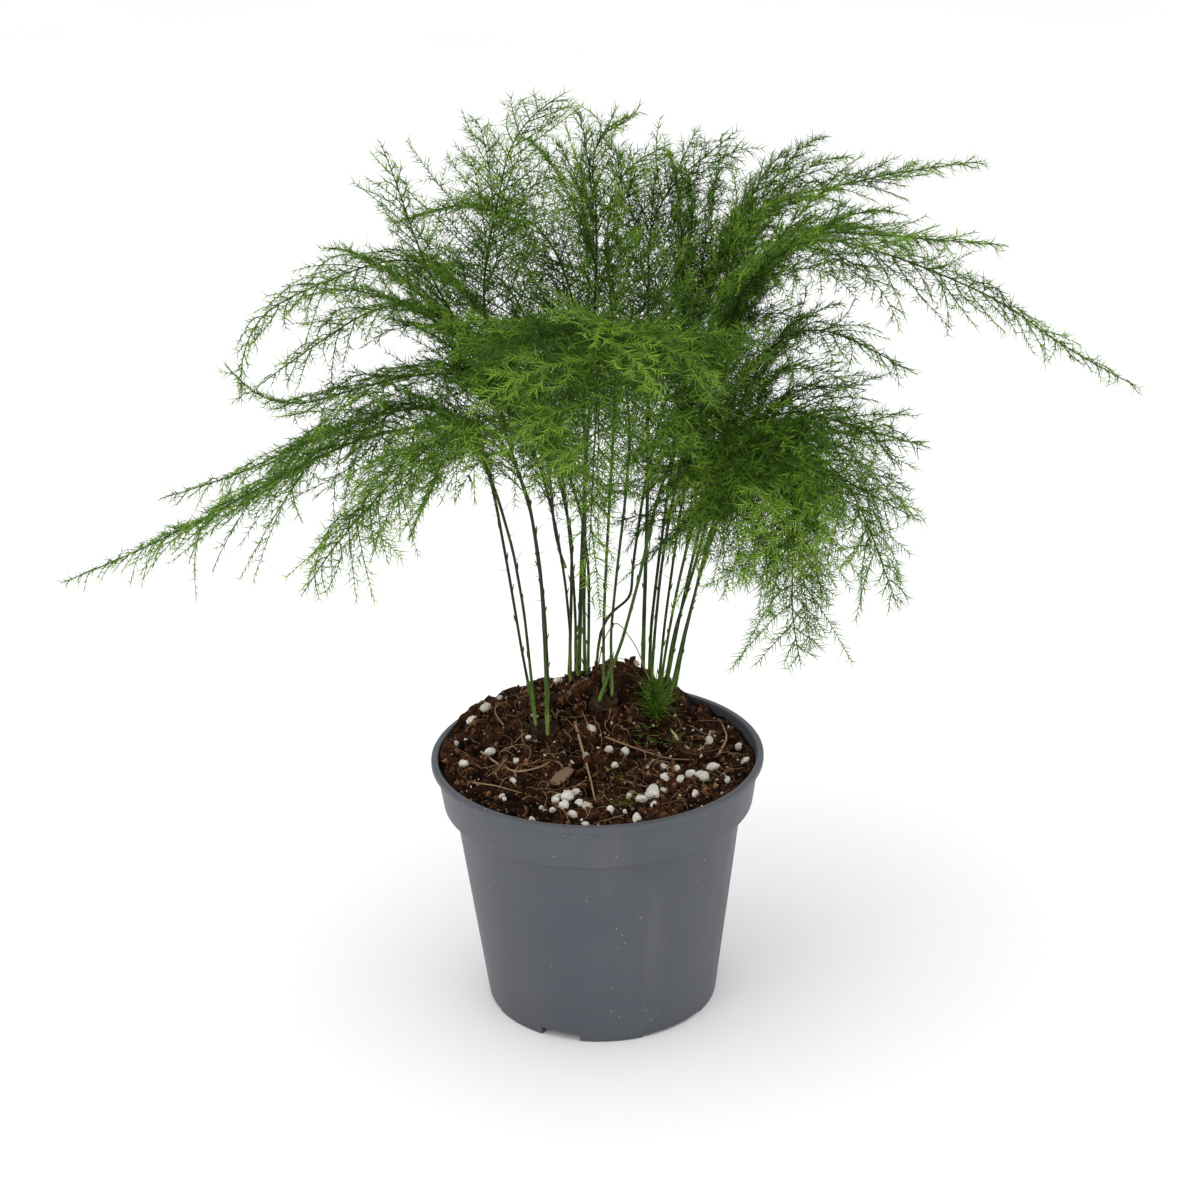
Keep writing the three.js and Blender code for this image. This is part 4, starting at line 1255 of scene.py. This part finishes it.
# Grains of perlite on the soil: x, y and radius in millimetres, and how stained each is.
PERLITE_GRAINS = [
    (-46, 23, 2.4, 0.0), (-39, 0, 2.2, 0.1), (-51, 8, 1.6, 0.5), (-41, 29, 2.0, 0.5),
    (-29, -9, 1.4, 0.0), (-14, 43, 1.6, 0.1), (-14, -30, 1.9, 0.1), (-11, -34, 2.1, 0.0),
    (-15, -35, 1.7, 0.0), (-12, -39, 2.0, 0.0), (-8, -30, 1.5, 0.1), (-16, -41, 1.5, 0.1),
    (-9, -45, 1.8, 0.1), (-7, -38, 1.6, 0.0), (-2, 11, 1.8, 0.0), (-4, -2, 1.9, 0.2),
    (4, 0, 1.8, 0.1), (10, 0, 1.7, 0.1), (11, 3, 1.3, 0.0), (6, -10, 1.8, 0.0),
    (-33, -33, 1.4, 0.2), (-30, -20, 1.4, 0.1), (-34, -28, 1.1, 0.2), (-23, -47, 1.6, 0.2),
    (-5, -52, 1.5, 0.1), (4, -44, 1.8, 0.0), (-4, -41, 1.8, 0.6), (9, -43, 1.3, 0.1),
    (24, -9, 1.7, 0.1), (28, -11, 1.5, 0.2), (24, -18, 2.0, 0.0), (29, -21, 1.7, 0.2),
    (33, -14, 1.8, 0.0), (41, -11, 2.3, 0.0), (46, -19, 1.7, 0.0), (53, -6, 1.8, 0.1),
    (15, -36, 2.0, 0.1), (11, -30, 1.7, 0.3), (19, -40, 1.4, 0.0), (13, -50, 1.9, 0.1),
    (31, -47, 1.4, 0.1), (34, -32, 1.9, 0.0), (41, 12, 1.6, 0.1), (52, 8, 1.7, 0.1),
    (15, 39, 2.1, 0.6), (26, 46, 2.0, 0.7), (-20, -38, 1.1, 0.2), (-36, 40, 1.3, 0.2),
    (44, 30, 1.2, 0.1), (23, -27, 1.4, 0.1), (36, -40, 1.2, 0.1), (-25, 6, 1.2, 0.1),
]
GRAIN_SCALE = 0.84
# The young tuft's needles: least and most lean in degrees, least and most length as shares of
# the tuft's height, and how many.
TUFT_SORTS = ((6, 40, 0.4, 0.75, 80), (35, 80, 0.4, 0.85, 90), (75, 125, 0.3, 0.7, 60))
NAMED_GRAINS = ("perlite_left", "perlite_right", "perlite_front")
CHIP_HEADING = math.radians(62)

# Roots and dead stalks on the soil, as x, y and lift above it in millimetres.
STRAWS = [
    ((-42, 2, 1), (-36, -8, 1.5), (-29, -17, 1.2), (-20, -14, 1.6), (-17, -9, 0.8)),
    ((-45, -20, 0.6), (-36, -25, 1.4), (-27, -28, 1.0)),
    ((-8, 14, 1), (-6, 2, 2.2), (-3, -16, 1.4), (-1, -37, 1)),
    ((3, 6, 1), (14, 1, 2.4), (26, -3, 1.6), (35, -1, 0.8)),
    ((44, 2, 0.8), (48, 14, 1.6), (46, 26, 0.8)),
    ((8, -20, 0.6), (17, -24, 1.5), (29, -28, 0.6)),
    ((-34, 14, 1), (-38, 24, 2), (-36, 36, 1)),
]
ARCHING_THREAD = ((1, 40, 0), (3, 39, 9), (8, 36, 17), (15, 34, 13), (20, 32, 5))

# Heaps of dropped needles: x, y and spread in millimetres, how many, and how light they are.
FALLEN_HEAPS = [
    (9, -19, 2.0, 16, 0.5), (11, -37, 2.6, 22, 0.6), (-3, -37, 2.4, 14, 0.6),
    (27, 12, 3.2, 22, 0.9), (17, 11, 2.6, 20, 0.9), (-18, -3, 3.0, 8, 0.5),
]


def perlite_pieces(material):
    for node in NAMED_GRAINS:
        low, high = box_of(node)
        shape = Shape()
        size = np.array([0.42 * (high - low).max()])
        scatter_lumps(shape, (low + high)[None] / 2, size, np.array([0.05]), 4, 0.25)
        shape.piece(node + "_grain", material, "perlite", node)
    shape = Shape()
    grains = np.array(PERLITE_GRAINS)
    sizes = GRAIN_SCALE * grains[:, 2] * MM
    places = on_soil(grains[:, :2] * MM, 0.4 * sizes)
    scatter_lumps(shape, places, sizes, grains[:, 3], 3, 0.3)
    spots = inside_pot(170, 54 * MM)
    small = rng.uniform(0.25, 0.7, len(spots)) * MM
    tones = rng.uniform(0, 0.5, len(spots))
    scatter_lumps(shape, on_soil(spots, 0.5 * small), small, tones, 2, 0.2, broken=True)
    shape.piece("perlite_crumbs", material, "perlite")


def over_soil(route):
    """A smooth curve through places given as x, y and lift over the soil in millimetres."""
    places = [(x * MM, y * MM, soil_top(x * MM, y * MM) + lift * MM) for x, y, lift in route]
    return smooth_curve(places, 1.0 * MM, 3.0)


def straws(material):
    shape = Shape()
    for route in STRAWS:
        curve = over_soil(route)
        radii = np.linspace(0.42, 0.2, len(curve)) * MM * rng.uniform(0.8, 1.2)
        shape.add(*tube(curve, radii, 6), kind=1.0, along=rng.uniform(0.3, 1.0))
    shape.add(*tube(over_soil(ARCHING_THREAD), 0.22 * MM, 5), kind=1.0, along=0.9)
    shape.piece("root_threads", material, "root_fibre")


def surface_root_piece(material):
    """The pale bent root that stands for the CAD's."""
    centres, _, links = skeleton(NODES["surface_root"], 1.6 * MM)
    start = int(np.argmax(centres[:, 1]))
    distance, before = ways_from(start, centres, links)
    route = centres[way_back(max(distance, key=distance.get), before)]
    curve = smooth_curve(route, 0.8 * MM, 2.5)
    share = np.linspace(0, 1, len(curve))
    radii = (0.62 + 0.14 * np.sin(share * 31) + 0.08 * np.sin(share * 67)) * MM
    radii *= np.sqrt(np.clip(1 - (2 * share - 1) ** 8, 0.05, 1))
    shape = Shape()
    shape.add(*tube(curve, radii, 10))
    shape.piece("pale_root", material, "root_fibre", "surface_root")


def crown_piece(node, material):
    """A knobbly crown with bud scales and the dry stubs of old stems."""
    low, high = box_of(node)
    middle, half = (low + high) / 2, (high - low) / 2
    pattern, triangles = lump_pattern(5)
    bumps = np.array([1 + 0.16 * noise.noise(Vector(p) * 3.1 + Vector(middle) * 90)
                      + 0.1 * noise.noise(Vector(p) * 8.3) for p in pattern])
    shape = Shape()
    shape.add(middle + pattern * half * bumps[:, None] * 0.9, triangles, tone=0.5)
    for _ in range(7):
        turn = rng.uniform(0, TURN)
        away = rng.uniform(0.3, 0.95)
        out = unit(np.array([math.cos(turn) * away, math.sin(turn) * away, 0.55]))
        place = middle + half * out * 0.9
        size = rng.uniform(0.9, 1.9) * MM
        tip = place + (out * 0.8 + 0.6 * UP) * size * rng.uniform(0.8, 1.5)
        curve = smooth_curve([place - out * size, place, (place + tip) / 2 + 0.2 * size * out, tip],
                             0.6 * MM, 1.0)
        share = np.linspace(0, 1, len(curve))
        radii = size * 0.62 * np.sqrt(np.clip(1 - share ** 2.6, 0.03, 1))
        shape.add(*tube(curve, radii, 9), tone=0.5, along=share.mean() * rng.uniform(0, 1.6))
    shape.piece(node + "_knobs", material, "root_crown", node)


def new_shoot_piece(material):
    """A young tuft: soft bright needles that stand round a short stalk."""
    low, high = box_of("new_shoot")
    middle, height = (low + high) / 2, high[2] - low[2]
    foot = np.array([middle[0], middle[1], low[2]])
    tip = np.array([middle[0], middle[1], low[2] + 0.7 * height])
    shape = Shape()
    curve = resample([foot, tip], 1.0 * MM)
    shape.add(*tube(curve, np.linspace(0.9, 0.3, len(curve)) * MM, 8), tone=0.5)
    for lean_from, lean_to, long_from, long_to, count in TUFT_SORTS:
        rise = rng.uniform(0.1, 0.95, count)[:, None]
        feet = foot + (tip - foot) * rise
        turn = rng.uniform(0, TURN, count)
        lean = np.radians(rng.uniform(lean_from, lean_to, count))
        out = np.sin(lean)
        directions = np.stack([out * np.cos(turn), out * np.sin(turn), np.cos(lean)], 1)
        lengths = rng.uniform(long_from, long_to, count) * height
        add_needles(shape, feet, directions, lengths, 0.2 * MM, rng.normal(0.6, 0.16, count), 0.8)
    shape.piece("young_tuft", material, "foliage", "new_shoot")


def fallen_needles(material):
    """Dropped needles that lie in loose heaps on the soil."""
    shape = Shape()
    for x, y, spread, count, tone in FALLEN_HEAPS:
        spots = np.array([x, y]) * MM + rng.normal(0, spread * MM, (count, 2))
        turn = rng.uniform(0, TURN, count)
        directions = unit(np.stack([np.cos(turn), np.sin(turn), rng.uniform(0.0, 0.5, count)], 1))
        lengths = rng.uniform(2.5, 5.0, count) * MM
        feet = on_soil(spots, np.full(count, 0.7 * MM))
        add_needles(shape, feet, directions, lengths, 0.17 * MM, rng.normal(tone, 0.12, count), 0.4)
    shape.piece("fallen_needles", material, "foliage")


def bark_chip_piece():
    """A split, uneven chip: a bevelled slab with ragged ends."""
    low, high = box_of("bark_chip")
    middle = (low + high) / 2
    length, width, thick = 12 * MM, 4.4 * MM, 1.6 * MM
    chip = bmesh.new()
    bmesh.ops.create_cube(chip, size=1.0)
    bmesh.ops.subdivide_edges(chip, edges=chip.edges[:], cuts=11, use_grid_fill=True)
    forward = np.array([math.cos(CHIP_HEADING), math.sin(CHIP_HEADING), 0])
    side = np.array([-forward[1], forward[0], 0])
    for vertex in chip.verts:
        a, b, c = vertex.co
        taper = 1 - 0.5 * max(0.0, abs(2 * a) - 0.5)
        ragged = 1 + 0.12 * noise.noise(Vector((0, b * 9, c * 7)))
        b *= taper * (1 + 0.25 * noise.noise(Vector((a * 4, 1.3, 0))))
        c *= 1 - 0.35 * (2 * b) ** 2 + 0.25 * noise.noise(Vector((a * 5, b * 5, 3)))
        place = middle + forward * a * ragged * length + side * b * width + UP * c * thick
        vertex.co = Vector(place)
    bmesh.ops.triangulate(chip, faces=chip.faces[:])
    shape = Shape()
    shape.add(*triangles_of(chip))
    shape.piece("split_bark_chip", bark_finish(), "bark", "bark_chip")


def soil_piece():
    shape = Shape()
    soil_mass(shape)
    crumbs(shape)
    fibres(shape)
    shape.piece("soil", soil_finish(), "potting_mix", "potting_mix")


# ------------------------------------------------------------------ stage, light and camera

FLOOR_RADIUS = 7.0
LIT_PLACE = (0, 0, 0.15)  # where every lamp points
# Each lamp's name, place, size, power and colour.
LAMPS = [
    ("overhead", (-0.25, -0.2, 1.5), 1.1, 5.0, (1.0, 1.0, 1.0)),
    ("front_left", (-1.1, -1.2, 0.9), 0.9, 2.5, (1.0, 0.985, 0.96)),
    ("front_right", (1.2, -0.9, 0.7), 0.9, 1.5, (0.97, 0.985, 1.0)),
]
SENSOR_WIDTH, LENS = 36.0, 78.0  # millimetres
CAMERA_PLACE = (0.0, -0.8462, 0.5061)
PITCH_DOWN, YAW, ROLL = math.radians(22.54), math.radians(0.15), 0.0229


def build_stage():
    floor = bmesh.new()
    bmesh.ops.create_circle(floor, cap_ends=True, segments=96, radius=FLOOR_RADIUS)
    piece = object_of(floor, "floor")
    paper = Finish("floor_paper", roughness=0.9)
    shade = paper.noise(3.0, 2.0)
    colour = paper.ramp(shade, (0.3, 250, 250, 250), (0.7, 254, 254, 254))
    piece.data.materials.append(paper.finish(colour))


def area_light(name, place, size, power, colour):
    light = bpy.data.lights.new(name, "AREA")
    light.shape = "DISK"
    light.size = size
    light.energy = power
    light.color = colour
    lamp = placed(name, light)
    lamp.location = place
    lamp.rotation_euler = (Vector(LIT_PLACE) - Vector(place)).to_track_quat("-Z", "Y").to_euler()


def build_lights():
    world = bpy.data.worlds.new("studio")
    world.use_nodes = True
    background = world.node_tree.nodes["Background"]
    background.inputs["Color"].default_value = (1.0, 1.0, 1.0, 1.0)
    background.inputs["Strength"].default_value = 1.0
    bpy.context.scene.world = world
    for lamp in LAMPS:
        area_light(*lamp)
    bpy.context.scene.view_settings.view_transform = "Standard"


def build_camera():
    data = bpy.data.cameras.new("camera")
    data.sensor_width = SENSOR_WIDTH
    data.lens = LENS
    data.clip_start = 0.02
    data.clip_end = 50.0
    camera = placed("camera", data)
    camera.location = CAMERA_PLACE
    level = math.cos(PITCH_DOWN)
    ahead = Vector((math.sin(YAW) * level, math.cos(YAW) * level, -math.sin(PITCH_DOWN)))
    camera.rotation_mode = "QUATERNION"
    camera.rotation_quaternion = Quaternion(ahead, ROLL) @ ahead.to_track_quat("-Z", "Y")
    bpy.context.scene.camera = camera


# ------------------------------------------------------------------ the plant, put together

build_stage()
build_lights()
build_camera()
pot_piece()
soil_piece()
perlite_pieces(perlite_finish())
pale_root = root_finish()
straws(soil_finish())
surface_root_piece(pale_root)
bark_chip_piece()
crown_material = crown_finish()
for crown in CROWNS:
    crown_piece(crown, crown_material)

foliage = foliage_finish()
bark = stem_finish()
new_shoot_piece(foliage)
fallen_needles(foliage)
fronds = [Frond(name) for name in FROND_LOOKS]
grown = [grow(frond) for frond in fronds]
thinning = [THINNED.get(frond.name, 1.0) for frond in fronds]
pair_spacing = 2 * sum(parts[2] / thin for parts, thin in zip(grown, thinning)) / NEEDLE_BUDGET
for frond, parts, thin in zip(fronds, grown, thinning):
    frond_piece(frond, parts, pair_spacing * thin, foliage)
    stem_piece(frond, bark)
